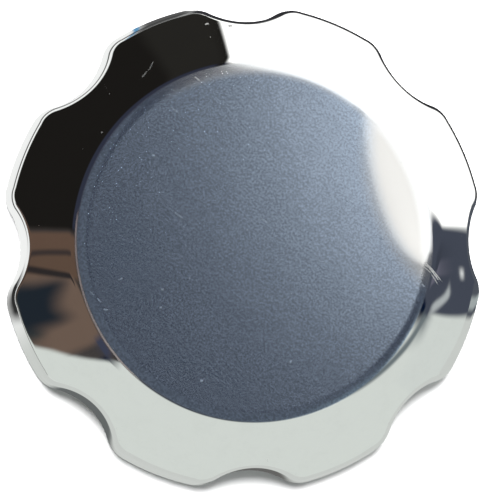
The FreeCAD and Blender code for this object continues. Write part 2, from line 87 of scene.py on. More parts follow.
class Tree:
    """A node tree that is filled by short calls."""

    def __init__(self, tree: bpy.types.NodeTree) -> None:
        """Empty a node tree, ready to be filled."""
        self.tree = tree
        self.tree.nodes.clear()

    def add(self, kind: str, **settings: object) -> bpy.types.Node:
        """Add a node and set its properties.

        Args:
            kind: The node's type name.
            **settings: Properties of the node by name.

        Returns:
            The new node.
        """
        node = self.tree.nodes.new(kind)
        for name, value in settings.items():
            setattr(node, name, value)
        return node

    def feed(self, socket: Socket, value: object) -> None:
        """Link an output to a socket, or set the socket's own value.

        Args:
            socket: The input socket.
            value: An output socket, a number, or a colour.
        """
        if isinstance(value, bpy.types.NodeSocket):
            self.tree.links.new(value, socket)
        elif isinstance(value, tuple) and len(value) == 3 and len(socket.default_value) == 4:
            socket.default_value = (*value, 1.0)
        else:
            socket.default_value = value

    def math(self, operation: str, *values: object, clamp: bool = False) -> Socket:
        """Compute one number from others.

        Args:
            operation: The Math node's operation.
            *values: Outputs or numbers.
            clamp: Whether the result stays between 0 and 1.

        Returns:
            The result's socket.
        """
        node = self.add("ShaderNodeMath", operation=operation, use_clamp=clamp)
        for socket, value in zip(node.inputs, values):
            self.feed(socket, value)
        return node.outputs[0]

    def times(self, first: object, second: object) -> Socket:
        """Multiply two numbers."""
        return self.math("MULTIPLY", first, second)

    def plus(self, first: object, second: object) -> Socket:
        """Add two numbers."""
        return self.math("ADD", first, second)

    def mix(self, factor: object, first: object, second: object) -> Socket:
        """Mix two colours.

        Args:
            factor: How much of the second colour shows.
            first: The first colour.
            second: The second colour.

        Returns:
            The mixed colour's socket.
        """
        node = self.add("ShaderNodeMix", data_type="RGBA")
        self.feed(node.inputs[0], factor)
        self.feed(node.inputs[6], first)
        self.feed(node.inputs[7], second)
        return node.outputs[2]

    def blend(self, factor: object, first: object, second: object) -> Socket:
        """Mix two numbers.

        Args:
            factor: How much of the second number shows.
            first: The first number.
            second: The second number.

        Returns:
            The mixed number's socket.
        """
        node = self.add("ShaderNodeMix", data_type="FLOAT")
        self.feed(node.inputs[0], factor)
        self.feed(node.inputs[2], first)
        self.feed(node.inputs[3], second)
        return node.outputs[0]

    def ramp(self, value: object, low: object, high: object, start: float = 0.0, end: float = 1.0) -> Socket:
        """Map a range of a number smoothly to another range.

        Args:
            value: The number.
            low: Where the range starts.
            high: Where the range ends.
            start: The result at the start.
            end: The result at the end.

        Returns:
            The result's socket.
        """
        node = self.add("ShaderNodeMapRange", interpolation_type="SMOOTHSTEP")
        for socket, item in zip(node.inputs, (value, low, high, start, end)):
            self.feed(socket, item)
        return node.outputs[0]

    def split(self, vector: Socket) -> list[Socket]:
        """Split a vector.

        Args:
            vector: The vector's socket.

        Returns:
            Its three numbers' sockets.
        """
        node = self.add("ShaderNodeSeparateXYZ")
        self.feed(node.inputs[0], vector)
        return list(node.outputs)

    def length(self, across: Socket, along: Socket) -> Socket:
        """Give the length of a flat vector from its two numbers."""
        squares = (self.math("POWER", part, 2.0) for part in (across, along))
        return self.math("SQRT", self.plus(*squares))

    def choose(self, factor: object, first: Socket, second: Socket) -> Socket:
        """Mix two shaders.

        Args:
            factor: How much of the second shader shows.
            first: The first shader.
            second: The second shader.

        Returns:
            The mixed shader's socket.
        """
        node = self.add("ShaderNodeMixShader")
        for socket, value in zip(node.inputs, (factor, first, second)):
            self.feed(socket, value)
        return node.outputs[0]

    def noise(self, vector: object, scale: object, detail: float = 2.0, roughness: float = 0.5) -> Socket:
        """Give a noise value at each point.

        Args:
            vector: The coordinates.
            scale: The noise's scale.
            detail: How many octaves it has.
            roughness: How strong the fine octaves are.

        Returns:
            The noise value's socket.
        """
        node = self.add("ShaderNodeTexNoise")
        self.feed(node.inputs["Vector"], vector)
        self.feed(node.inputs["Scale"], scale)
        self.feed(node.inputs["Detail"], detail)
        self.feed(node.inputs["Roughness"], roughness)
        return node.outputs[0]

    def group(self, tree: bpy.types.NodeTree, **values: object) -> bpy.types.Node:
        """Place a node group with its own values.

        Args:
            tree: The group's tree.
            **values: Values by input name, with _ for a space.

        Returns:
            The group's node.
        """
        node = self.add("ShaderNodeGroup")
        node.node_tree = tree
        for name, value in values.items():
            self.feed(node.inputs[name.replace("_", " ")], value)
        return node


class Group(Tree):
    """A shader node group with named inputs and one output."""

    def __init__(self, name: str, inputs: tuple[str, ...], output: str) -> None:
        """Make the group with its sockets.

        Args:
            name: The group's name.
            inputs: The inputs' names; one called Vector takes coordinates, the others numbers.
            output: The output's name.
        """
        super().__init__(bpy.data.node_groups.new(name, "ShaderNodeTree"))
        face = self.tree.interface
        for label in inputs:
            kind = "NodeSocketVector" if label == "Vector" else "NodeSocketFloat"
            face.new_socket(label, in_out="INPUT", socket_type=kind)
        face.new_socket(output, in_out="OUTPUT", socket_type="NodeSocketFloat")
        entry = self.add("NodeGroupInput")
        self.given = {label: entry.outputs[label] for label in inputs}
        self.made = self.add("NodeGroupOutput")

    def give(self, value: Socket) -> bpy.types.NodeTree:
        """Send a value to the group's output and hand over the finished tree."""
        self.feed(self.made.inputs[0], value)
        return self.tree


# Effects that several finishes share

class Effects:
    """The node groups for grain, specks, strokes, lathe rings, edge wear and dust."""

    FINER = 3.7
    FRAY = (0.6, 1.1, 1.0, 0.0)
    BREAKS = (1.4, -0.7)
    WEAR_SOFT = 0.25
    CLOUD = (0.42, 0.72)

    def __init__(self) -> None:
        """Build each group once."""
        self.grain = self.build_grain()
        self.specks = self.build_specks()
        self.stroke = self.build_stroke()
        self.rings = self.build_rings()
        self.edge_wear = self.build_edge_wear()
        self.dust = self.build_dust()

    def build_grain(self) -> bpy.types.NodeTree:
        """Build a two-level grain, coarse with fine on top.

        Returns:
            The group's tree.
        """
        group = Group("grain", ("Vector", "Scale", "Fine Share"), "Value")
        coarse = group.noise(group.given["Vector"], group.given["Scale"])
        fine = group.noise(group.given["Vector"], group.times(group.given["Scale"], self.FINER), detail=3.0)
        return group.give(group.blend(group.given["Fine Share"], coarse, fine))

    def build_specks(self) -> bpy.types.NodeTree:
        """Build small round specks, of which a share is kept.

        Returns:
            The group's tree.
        """
        group = Group("specks", ("Vector", "Scale", "Size", "Share"), "Mask")
        cells = group.add("ShaderNodeTexVoronoi")
        group.feed(cells.inputs["Vector"], group.given["Vector"])
        group.feed(cells.inputs["Scale"], group.given["Scale"])
        dot = group.ramp(cells.outputs["Distance"], group.times(group.given["Size"], 0.5),
                         group.given["Size"], 1.0, 0.0)
        kept = group.add("ShaderNodeSeparateColor")
        group.feed(kept.inputs[0], cells.outputs["Color"])
        return group.give(group.times(dot, group.math("LESS_THAN", kept.outputs[0], group.given["Share"])))

    def build_stroke(self) -> bpy.types.NodeTree:
        """Build one short mark, seen from above, with a ragged outline.

        Returns:
            The group's tree.
        """
        group = Group("stroke", ("Vector", "Ragged", "X", "Y", "Cosine", "Sine", "Half Length",
                                 "Half Width"), "Mask")
        x, y, _ = group.split(group.given["Vector"])
        across = group.math("SUBTRACT", x, group.given["X"])
        along = group.math("SUBTRACT", y, group.given["Y"])
        cosine, sine = group.given["Cosine"], group.given["Sine"]
        length = group.plus(group.times(across, cosine), group.times(along, sine))
        width = group.math("SUBTRACT", group.times(along, cosine), group.times(across, sine))
        masks = []
        for place, half in ((length, group.given["Half Length"]), (width, group.given["Half Width"])):
            share = group.math("DIVIDE", group.math("ABSOLUTE", place), half)
            frayed = group.times(share, group.given["Ragged"])
            masks.append(group.ramp(frayed, *self.FRAY))
        return group.give(group.times(*masks))

    def build_rings(self) -> bpy.types.NodeTree:
        """Build fine rings round the cap's axis, as a lathe or a draw leaves them.

        Returns:
            The group's tree.
        """
        group = Group("rings", ("Vector", "Spacing"), "Value")
        x, y, z = group.split(group.given["Vector"])
        place = group.add("ShaderNodeCombineXYZ")
        for socket, value in zip(place.inputs, (group.length(x, y), z)):
            group.feed(socket, group.math("DIVIDE", value, group.given["Spacing"]))
        return group.give(group.noise(place.outputs[0], 1.0))

    def build_edge_wear(self) -> bpy.types.NodeTree:
        """Build a broken mask along an edge, from how near the edge is.

        Returns:
            The group's tree.
        """
        group = Group("edge_wear", ("Vector", "Edge", "Scale", "Amount"), "Mask")
        broken = group.noise(group.given["Vector"], group.given["Scale"], detail=5.0, roughness=0.65)
        level = group.plus(group.given["Edge"], group.math("MULTIPLY_ADD", broken, *self.BREAKS))
        floor = group.math("SUBTRACT", 1.0, group.given["Amount"])
        return group.give(group.ramp(level, floor, group.plus(floor, self.WEAR_SOFT)))

    def build_dust(self) -> bpy.types.NodeTree:
        """Build a thin, cloudy film of dust.

        Returns:
            The group's tree.
        """
        group = Group("dust", ("Vector", "Scale", "Amount"), "Mask")
        cloud = group.noise(group.given["Vector"], group.given["Scale"], detail=6.0, roughness=0.7)
        film = group.ramp(cloud, *self.CLOUD)
        return group.give(group.math("MULTIPLY", film, group.given["Amount"], clamp=True))


# The cover

@dataclass(frozen=True)
class Station:
    """One upright plane through the cover: a point of its outline with its outward direction."""

    at: Vector
    out: Vector
    draft: float


@dataclass(frozen=True)
class Scallop:
    """The cover's outline at its rim: eight lobes, with a round flute between each two.

    All lengths are millimetres.
    """

    lobe_radius: float = 38.0
    flute_count: int = 8
    flute_depth: float = 3.2
    flute_radius: float = 11.0
    corner_round: float = 5.0
    lobe_draft: float = 0.9 / 5.4
    flute_draft: float = 0.08
    flute_steps: int = 14
    corner_steps: int = 12
    lobe_steps: int = 8

    def half_sector(self) -> list[Station]:
        """Walk from the middle of a flute to the middle of a lobe.

        Returns:
            The stations, both ends among them.
        """
        axis = self.lobe_radius - self.flute_depth + self.flute_radius
        near = self.lobe_radius - self.corner_round
        far = self.flute_radius + self.corner_round
        lobe_turn = math.acos((near**2 + axis**2 - far**2) / (2 * near * axis))
        flute_turn = math.acos((far**2 + axis**2 - near**2) / (2 * far * axis))
        corner = Vector((near * math.cos(lobe_turn), near * math.sin(lobe_turn)))
        stations = []
        for step in range(self.flute_steps + 1):
            turn = -flute_turn * step / self.flute_steps
            out = Vector((math.cos(turn), math.sin(turn)))
            stations.append(Station(Vector((axis, 0.0)) - out * self.flute_radius, out, self.flute_draft))
        for step in range(1, self.corner_steps + 1):
            share = step / self.corner_steps
            turn = -flute_turn + (flute_turn + lobe_turn) * share
            out = Vector((math.cos(turn), math.sin(turn)))
            draft = self.flute_draft + (self.lobe_draft - self.flute_draft) * share
            stations.append(Station(corner + out * self.corner_round, out, draft))
        for step in range(1, self.lobe_steps + 1):
            turn = lobe_turn + (math.pi / self.flute_count - lobe_turn) * step / self.lobe_steps
            out = Vector((math.cos(turn), math.sin(turn)))
            stations.append(Station(out * self.lobe_radius, out, self.lobe_draft))
        return stations

    def around(self) -> list[Station]:
        """Walk once round the whole outline.

        Returns:
            The stations, counter-clockwise, each once.
        """
        half = self.half_sector()
        flip = Matrix(((1, 0), (0, -1)))
        sector = [Station(flip @ s.at, flip @ s.out, s.draft) for s in reversed(half[1:])] + half[:-1]
        stations = []
        for number in range(self.flute_count):
            turn = Matrix.Rotation(2 * math.pi * number / self.flute_count, 2)
            stations += [Station(turn @ s.at, turn @ s.out, s.draft) for s in sector]
        return stations


def rounded_path(corners: list[Vector], rounds: Sequence[float], steps: Sequence[int]) -> list[Vector]:
    """Round the inner corners of a flat path.

    Args:
        corners: The path's corners.
        rounds: The radius at each inner corner.
        steps: The number of arc steps at each inner corner.

    Returns:
        The first corner, each arc's points, and the last corner.
    """
    points = [corners[0]]
    for number, (radius, count) in enumerate(zip(rounds, steps), start=1):
        before, corner, after = corners[number - 1:number + 2]
        arrive, leave = (corner - before).normalized(), (after - corner).normalized()
        turn = math.atan2(arrive.cross(leave), arrive.dot(leave))
        tangent = radius * math.tan(abs(turn) / 2)
        side = math.copysign(1.0, turn)
        centre = corner - arrive * tangent + Vector((-arrive.y, arrive.x)) * radius * side
        spoke = corner - arrive * tangent - centre
        points += [centre + Matrix.Rotation(turn * step / count, 2) @ spoke for step in range(count + 1)]
    return points + [corners[-1]]


@dataclass
class Cover:
    """The drawn cover: satin disc, mirror ring, fluted skirt and folded hem. Millimetres."""

    outline: Scallop = field(default_factory=Scallop)
    height: float = 14.5
    shoulder_height: float = 5.4
    shoulder_radius: float = 37.1
    disc_radius: float = 27.1
    sheet: float = 0.8
    disc_round: float = 4.5
    ring_crown: float = 0.22
    dent_tilt: float = 6.5
    dent_aim: float = 17.0
    dent_start: float = 21.2
    dent_bow: float = 0.009
    dent_close: float = 0.00016
    dent_blend: float = 1.9
    shoulder_round: float = 2.3
    hem_width: float = 2.0
    hem_round: float = 0.6
    hem_support: float = 0.1
    end_rounds: Plan = (0.1, 0.3)
    shoulder_reach: float = 0.75
    inner_reach: float = 0.55
    crown_before: float = 2.4
    crown_reach: float = 1.4
    shoulder_steps: int = 12
    hem_steps: int = 8
    crown_steps: int = 16
    inner_crown_steps: int = 6
    inner_steps: tuple[int, int, int] = (2, 2, 4)
    ring_steps: int = 12
    inner_ring_steps: int = 5
    disc_shares: tuple[float, ...] = (0.0, 0.004, 0.05, 0.2, 0.4, 0.6, 0.7)
    rubbed_start: float = 0.72
    rubbed_step: float = 0.0155
    rubbed_rows: int = 18
    probe: float = 0.05
    wall_tries: int = 30
    corner_tries: int = 8
    node: str = "cover_shell"

    def slope(self) -> float:
        """Give the ring's slope in radians."""
        return math.atan((self.height - self.shoulder_height) / (self.shoulder_radius - self.disc_radius))

    def ring_height(self, radius: float, sunk: float = 0.0) -> float:
        """Give the height of the ring, a cone that bulges a little.

        Args:
            radius: Distance from the axis.
            sunk: How far the surface lies below the outer one, square to it.

        Returns:
            The height.
        """
        rise = (self.shoulder_radius - radius) * math.tan(self.slope())
        share = (radius - self.disc_radius) / (self.shoulder_radius - self.disc_radius)
        crown = 4 * self.ring_crown * share * (1 - share)
        return self.shoulder_height + rise + crown - sunk / math.cos(self.slope())

    def wall_corner(self, station: Station, start: Vector, draft: float, sunk: float) -> Vector:
        """Find where a wall that rises from a point meets the ring's cone.

        Args:
            station: The outline's station.
            start: The wall's foot, across and up.
            draft: How far the wall leans in for each millimetre up.
            sunk: How far the cone lies below the outer one.

        Returns:
            The corner, across and up.
        """
        up = start.y
        for _ in range(self.wall_tries):
            across = start.x - draft * (up - start.y)
            radius = (station.at + station.out * across).length
            up = max(self.ring_height(radius, sunk), start.y)
        return Vector((start.x - draft * (up - start.y), up))

    def cone_step(self, station: Station, corner: Vector, length: float, sunk: float) -> Vector:
        """Go down the cone's inner side from a corner, square to the outline.

        Args:
            station: The outline's station.
            corner: Where to start, across and up.
            length: How far to go inwards.
            sunk: How far the cone lies below the outer one.

        Returns:
            The new point, across and up.
        """
        across = corner.x - length
        radius = (station.at + station.out * across).length
        return Vector((across, self.ring_height(radius, sunk)))

    def outer_wall(self, station: Station) -> list[Vector]:
        """Draw the section of the skirt from the ring down to the hem's underside.

        Args:
            station: The outline's station.

        Returns:
            Points, across and up, from the ring to the hem.
        """
        foot = Vector((0.0, 0.0))
        top = self.wall_corner(station, foot, station.draft, 0.0)
        corners = [self.cone_step(station, top, self.shoulder_reach, 0.0), top, foot,
                   Vector((-self.sheet - self.hem_width, 0.0))]
        path = rounded_path(corners, [self.shoulder_round, self.hem_round],
                            [self.shoulder_steps, self.hem_steps])
        return path[:-1] + [path[-2].lerp(path[-1], self.hem_support), path[-1]]

    def inner_wall(self, station: Station) -> list[Vector]:
        """Draw the section from the hem's end, over the hem and up inside the skirt.

        Args:
            station: The outline's station.

        Returns:
            Points, across and up, from the hem to the ring's underside.
        """
        inset = self.sheet + self.hem_width
        foot = Vector((-self.sheet - station.draft * self.sheet, self.sheet))
        top = self.wall_corner(station, foot, station.draft, self.sheet)
        corners = [Vector((-inset, 0.0)), Vector((-inset, self.sheet)), foot, top,
                   self.cone_step(station, top, self.inner_reach, self.sheet)]
        return rounded_path(corners, [*self.end_rounds, self.shoulder_round - self.sheet], self.inner_steps)

    def dent(self, spot: Vector) -> float:
        """Give the depth of the worn, flattened place at the disc's edge.

        Args:
            spot: A point of the disc, seen from above.

        Returns:
            How far the disc lies below its own level there.
        """
        turn = self.dent_aim * DEGREE
        along = spot.x * math.cos(turn) + spot.y * math.sin(turn)
        beside = spot.y * math.cos(turn) - spot.x * math.sin(turn)
        past = along - self.dent_start - self.dent_bow * beside**2 - self.dent_close * min(beside, 0.0) ** 4
        if past <= -self.dent_blend:
            return 0.0
        if past < self.dent_blend:
            past = (past + self.dent_blend) ** 2 / (4 * self.dent_blend)
        return past * math.tan(self.dent_tilt * DEGREE)

    def crown(self, aim: Vector, sunk: float, rings: int) -> list[Vector]:
        """Draw the section of the disc and of the round that leads into the ring.

        Args:
            aim: The section's direction from the axis.
            sunk: How far the surface lies below the outer one.
            rings: The number of arc steps at the disc's edge.

        Returns:
            Points in space, from the axis outwards.
        """
        def top(radius: float) -> float:
            """Give the disc's height."""
            return self.height - sunk - self.dent(aim * radius)

        def fall(radius: float) -> float:
            """Give how steeply the disc falls there."""
            return (top(radius - self.probe) - top(radius + self.probe)) / (2 * self.probe)

        corner = self.disc_radius
        for _ in range(self.corner_tries):
            gap = self.ring_height(corner, sunk) - top(corner)
            corner += gap / (math.tan(self.slope()) - fall(corner))
        before, after = self.crown_before, corner + self.crown_reach
        path = rounded_path([Vector((corner - before, top(corner) + fall(corner) * before)),
                             Vector((corner, top(corner))), Vector((after, self.ring_height(after, sunk)))],
                            [self.disc_round - sunk], [rings])[1:]
        flat = path[0].x
        shares = self.disc_shares + tuple(self.rubbed_start + self.rubbed_step * row
                                          for row in range(self.rubbed_rows))
        points = [Vector((flat * share, top(flat * share))) for share in shares]
        points += [Vector((p.x, min(p.y, self.height - sunk))) for p in path]
        return [(aim * p.x).to_3d() + Vector((0.0, 0.0, p.y)) for p in points]

    def ring_points(self, radius: float, far: Vector, sunk: float, count: int) -> list[Vector]:
        """Fill the ring between the disc's edge and the skirt's section.

        Args:
            radius: Where the disc's section ends.
            far: Where the skirt's section starts.
            sunk: How far the surface lies below the outer one.
            count: The number of steps.

        Returns:
            Points in space, from the disc outwards, without both ends.
        """
        flat = Vector((far.x, far.y, 0.0))
        spots = [(flat.normalized() * radius).lerp(flat, step / count) for step in range(1, count)]
        return [Vector((spot.x, spot.y, self.ring_height(spot.length, sunk))) for spot in spots]

    def section(self, station: Station) -> list[Vector]:
        """Walk over the whole sheet at one station, from the axis out and back inside.

        Args:
            station: The outline's station.

        Returns:
            Points in space, in millimetres.
        """
        def placed(points: list[Vector]) -> list[Vector]:
            """Turn points across and up into points in space."""
            return [(station.at + station.out * p.x).to_3d() + Vector((0, 0, p.y)) for p in points]

        outer = placed(self.outer_wall(station))
        inner = placed(self.inner_wall(station))
        upper = self.crown(outer[0].xy.normalized(), 0.0, self.crown_steps)
        lower = self.crown(inner[-1].xy.normalized(), self.sheet, self.inner_crown_steps)
        ring = self.ring_points(upper[-1].xy.length, outer[0], 0.0, self.ring_steps)
        under = self.ring_points(lower[-1].xy.length, inner[-1], self.sheet, self.inner_ring_steps)
        return upper + ring + outer + inner[1:] + under[::-1] + lower[::-1]

    def shape(self) -> bpy.types.Object:
        """Wrap a grid round the outline, with a section at each station.

        Returns:
            The cover's object, with its outer faces in slot 0 and inner ones in slot 1.
        """
        stations = self.outline.around()
        sections = [self.section(station) for station in stations]
        count, length = len(stations), len(sections[0])
        crown = self.crown(stations[0].out, 0.0, self.crown_steps)
        hem = len(crown) + self.ring_steps + len(self.outer_wall(stations[0])) - 2
        bm = bmesh.new()
        bmesh.ops.create_grid(bm, x_segments=length - 1, y_segments=count, size=1.0)
        inside = bm.faces.layers.int.new("inside")
        for face in bm.faces:
            face[inside] = int((face.calc_center_median().x + 1) / 2 * (length - 1) > hem)
        for vert in bm.verts:
            row = round((vert.co.y + 1) / 2 * count) % count
            place = round((vert.co.x + 1) / 2 * (length - 1))
            vert.co = sections[row][place] * MM
        bmesh.ops.remove_doubles(bm, verts=bm.verts, dist=SHEET_WELD)
        bmesh.ops.dissolve_degenerate(bm, dist=RING_WELD, edges=bm.edges)
        bmesh.ops.recalc_face_normals(bm, faces=bm.faces)
        for face in bm.faces:
            face.material_index = (Side.INSIDE if face[inside] else Side.OUTSIDE).value
        return mesh_object("cover", bm)

    def build(self, effects: Effects) -> list[bpy.types.Object]:
        """Build and dress the cover in place of its solid.

        Args:
            effects: The shared effects.

        Returns:
            The cover.
        """
        cover = self.shape()
        inside = PlateFinish("cover_inside", (0.56, 0.57, 0.58), (0.40, 0.41, 0.43), 0.36)
        cover.data.materials.append(ChromeFinish().material(effects))
        cover.data.materials.append(inside.material(effects))
        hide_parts(self.node)
        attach(cover, "cap_body")
        return [cover]


def mesh_object(name: str, bm: bmesh.types.BMesh) -> bpy.types.Object:
    """Turn a finished bmesh into an object at the origin, smooth apart from its sharp edges.

    Args:
        name: The object's name.
        bm: The bmesh, which is freed.

    Returns:
        The new object, linked to the scene.
    """
    for face in bm.faces:
        face.smooth = True
    mesh = bpy.data.meshes.new(name)
    bm.to_mesh(mesh)
    bm.free()
    mesh.set_sharp_from_angle(angle=SHARP_FROM)
    made = bpy.data.objects.new(name, mesh)
    bpy.context.scene.collection.objects.link(made)
    return made


def spun(name: str, section: list[Plan], steps: int) -> bpy.types.Object:
    """Spin a closed section round the cap's axis.

    Args:
        name: The object's name.
        section: Radius and height of each corner, in millimetres.
        steps: The number of steps round.

    Returns:
        The ring's object.
    """
    bm = bmesh.new()
    corners = [bm.verts.new(Vector((radius, 0.0, up)) * MM) for radius, up in section]
    edges = [bm.edges.new(pair) for pair in zip(corners, corners[1:] + corners[:1])]
    bmesh.ops.spin(bm, geom=corners + edges, cent=(0, 0, 0), axis=(0, 0, 1), angle=2 * math.pi,
                   steps=steps, use_merge=True)
    bmesh.ops.remove_doubles(bm, verts=bm.verts, dist=RING_WELD)
    bmesh.ops.recalc_face_normals(bm, faces=bm.faces)
    return mesh_object(name, bm)


# Finishes

class Paint(Tree):
    """A material under construction, with millimetre coordinates ready to use."""

    def __init__(self, name: str) -> None:
        """Start the material.

        Args:
            name: The material's name.
        """
        self.material = bpy.data.materials.new(name)
        self.material.use_nodes = True
        super().__init__(self.material.node_tree)
        self.shader = self.add("ShaderNodeBsdfPrincipled")
        self.feed(self.add("ShaderNodeOutputMaterial").inputs[0], self.shader.outputs[0])
        self.object_place = self.add("ShaderNodeTexCoord").outputs["Object"]
        self.place = self.stretched(PER_MM)
        self.x, self.y, self.z = self.split(self.place)
        self.radius = self.length(self.x, self.y)
        self.azimuth = self.math("ARCTAN2", self.y, self.x)

    def stretched(self, scale: Triple, turn: float = 0.0) -> Socket:
        """Turn and stretch the coordinates.

        Args:
            scale: The scale along each axis; PER_MM gives millimetres.
            turn: A turn about the cap's axis, in degrees.

        Returns:
            The new coordinates.
        """
        turned = self.add("ShaderNodeMapping", vector_type="POINT")
        self.feed(turned.inputs["Vector"], self.object_place)
        turned.inputs["Rotation"].default_value = (0.0, 0.0, turn * DEGREE)
        sized = self.add("ShaderNodeMapping", vector_type="POINT")
        self.feed(sized.inputs["Vector"], turned.outputs[0])
        sized.inputs["Scale"].default_value = scale
        return sized.outputs[0]

    def shared(self, tree: bpy.types.NodeTree, **values: object) -> Socket:
        """Place a shared effect, on the millimetre coordinates unless others are given."""
        values.setdefault("Vector", self.place)
        return self.group(tree, **values).outputs[0]

    def band(self, value: Socket, middle: float, half: float, soft: float) -> Socket:
        """Give 1 in a band of values, with soft edges, and 0 outside it."""
        gap = self.math("ABSOLUTE", self.math("SUBTRACT", value, middle))
        return self.ramp(gap, half - soft / 2, half + soft / 2, 1.0, 0.0)

    def sector(self, middle: float, half: float, soft: float) -> Socket:
        """Give 1 in a sector round the cap's axis, in degrees, and 0 outside it."""
        return self.band(self.azimuth, *(angle * DEGREE for angle in (middle, half, soft)))

    def around(self, middle: float, value: Socket, spread: float) -> Socket:
        """Let a number vary round its middle as a value goes from 0 to 1."""
        return self.math("MULTIPLY_ADD", value, spread, middle - spread / 2)

    def dress(self, colour: object, roughness: object, height: object = None) -> None:
        """Feed the shader.

        Args:
            colour: The base colour.
            roughness: The roughness.
            height: The surface's relief in millimetres.
        """
        self.feed(self.shader.inputs["Base Color"], colour)
        self.feed(self.shader.inputs["Roughness"], roughness)
        if height is not None:
            bump = self.add("ShaderNodeBump")
            bump.inputs["Strength"].default_value = 1.0
            bump.inputs["Distance"].default_value = MM
            self.feed(bump.inputs["Height"], height)
            self.feed(self.shader.inputs["Normal"], bump.outputs[0])


class Finish(Protocol):
    """Any finish that can be laid on a piece."""

    def material(self, effects: Effects) -> bpy.types.Material:
        """Build the finish's material."""


@dataclass(frozen=True)
class Mark:
    """A scratch, nick or speck on the cover: place and size in millimetres, turn in degrees."""

    x: float
    y: float
    turn: float
    half_length: float
    half_width: float
    strength: float


@dataclass(frozen=True)
class ChromeFinish:
    """Bright chrome with a satin disc in the middle, worn as the real one is, with painted highlights along
    the disc's edge. Millimetres and degrees.
    """

    chrome: Colour = (0.94, 0.945, 0.94)
    satin: Colour = (0.57, 0.685, 0.85)
    bright: Colour = (0.68, 0.675, 0.665)
    # Painted sheen for one side of the disc's rounded edge.
    painted_fillet_sheen: Colour = (0.84, 0.86, 0.88)
    # Painted highlight: a pinkish line along the disc's edge, on its left side only.
    painted_lip_highlight: Colour = (1.0, 0.86, 0.86)
    scuffed: Colour = (0.66, 0.66, 0.66)
    satin_radius: float = 27.15
    satin_edge: float = 0.3
    satin_wander: Plan = (0.9, 0.12)
    satin_roughness: float = 0.18
    satin_spread: float = 0.04
    satin_metal: float = 0.97
    grain_shade: float = 0.68
    grain_ramp: Plan = (0.40, 0.60)
    grain_share: float = 0.7
    grain_relief: float = 0.0005
    brush_stretch: Triple = (450.0, 1900.0, 1000.0)
    brush_turn: float = 38.0
    polish: float = 0.028
    smudge_shade: float = 0.8
    polish_film: float = 0.03
    wave_scale: float = 0.13
    wave_height: float = 0.012
    rub_aim: float = 17.0
    rub_start: float = 21.2
    rub_bow: float = 0.018
    rub_ramp: Plan = (-4.2, 0.4)
    fillet_sheen_ramp: Plan = (24.6, 26.4)
    fillet_sheen_sector: Triple = (56.0, 62.0, 20.0)
    lip_band: Triple = (27.25, 0.13, 0.12)
    lip_sectors: tuple[Triple, Triple] = ((-161.0, 28.0, 8.0), (178.0, 8.0, 6.0))
    rim_ramp: Plan = (1.4, 0.1)
    film_shade: float = 0.45
    lip_highlight_share: float = 0.7
    rub_shade: float = 0.35
    worn_roughness: float = 0.75
    lip_roughness: float = 0.6
    rub_roughness: float = 0.22
    speck_strength: float = 0.5
    fray_least: float = 0.7
    fray_gain: float = 2.2
    marks: tuple[Mark, ...] = (
        Mark(26.6, -4.2, -44.0, 1.5, 0.1, 0.95),
        Mark(27.0, -4.9, -48.0, 1.8, 0.12, 0.95),
        Mark(27.8, -5.4, -46.0, 1.3, 0.1, 0.8),
        Mark(26.2, -4.6, -38.0, 0.9, 0.09, 0.9),
        Mark(27.3, -5.9, -52.0, 1.1, 0.09, 0.85),
        Mark(25.9, -3.9, -30.0, 0.6, 0.12, 0.9),
        Mark(24.9, -6.2, -50.0, 0.34, 0.2, 1.0),
        Mark(25.4, -6.9, -40.0, 0.3, 0.1, 0.9),
        Mark(25.2, -5.3, -60.0, 0.3, 0.09, 0.8),
        Mark(-11.8, 4.1, -38.0, 0.85, 0.09, 0.7),
        Mark(1.3, 3.1, -34.0, 0.8, 0.07, 0.6),
        Mark(14.0, 5.9, -30.0, 0.75, 0.09, 0.6),
        Mark(10.0, -3.2, -25.0, 0.7, 0.07, 0.5),
        Mark(-12.1, 19.9, -35.0, 0.6, 0.12, 0.7),
        Mark(-8.6, 24.6, -40.0, 0.6, 0.1, 0.6),
        Mark(-15.4, 13.1, 0.0, 0.22, 0.2, 0.8),
        Mark(19.0, 0.2, 20.0, 0.3, 0.24, 0.9),
        Mark(4.8, -18.1, 0.0, 0.22, 0.2, 0.8),
        Mark(-8.7, -20.7, 0.0, 0.24, 0.2, 0.8),
        Mark(-20.7, -5.4, 30.0, 0.36, 0.12, 0.9),
        Mark(-14.4, -7.0, 0.0, 0.22, 0.18, 0.8),
        Mark(-14.7, -9.7, 0.0, 0.2, 0.18, 0.7),
        Mark(-25.0, -7.4, -42.0, 0.5, 0.1, 0.9),
        Mark(-23.9, -8.5, -45.0, 0.45, 0.1, 0.9),
        Mark(-23.0, -9.9, -20.0, 0.3, 0.14, 0.9),
        Mark(-16.3, 25.6, 50.0, 0.9, 0.12, 0.5),
        Mark(-15.2, 27.0, 62.0, 1.0, 0.09, 0.5),
        Mark(-22.0, 23.8, -72.0, 1.1, 0.06, 0.22),
        Mark(-23.0, 16.7, 0.0, 0.2, 0.16, 0.7),
        Mark(-6.2, 33.8, 15.0, 0.35, 0.16, 0.6),
        Mark(-2.7, 33.4, 15.0, 0.4, 0.25, 0.8),
        Mark(1.8, -33.0, 80.0, 0.4, 0.14, 0.5),
    )

    def worn(self, paint: Paint, effects: Effects) -> Socket:
        """Join the marks, and random specks on the satin disc.

        Args:
            paint: The material.
            effects: The shared effects.

        Returns:
            The mask of everything scratched.
        """
        specks = paint.shared(effects.specks, Scale=0.45, Size=0.06, Share=0.4)
        worn = paint.times(specks, self.speck_strength)
        frayed = paint.times(paint.noise(paint.place, 4.5, detail=3.0, roughness=0.7), self.fray_gain)
        ragged = paint.math("MAXIMUM", self.fray_least, frayed)
        for mark in self.marks:
            turn = mark.turn * DEGREE
            mask = paint.shared(effects.stroke, Ragged=ragged, X=mark.x, Y=mark.y, Cosine=math.cos(turn),
                                Sine=math.sin(turn), Half_Length=mark.half_length,
                                Half_Width=mark.half_width)
            worn = paint.math("MAXIMUM", worn, paint.times(mask, mark.strength))
        return worn

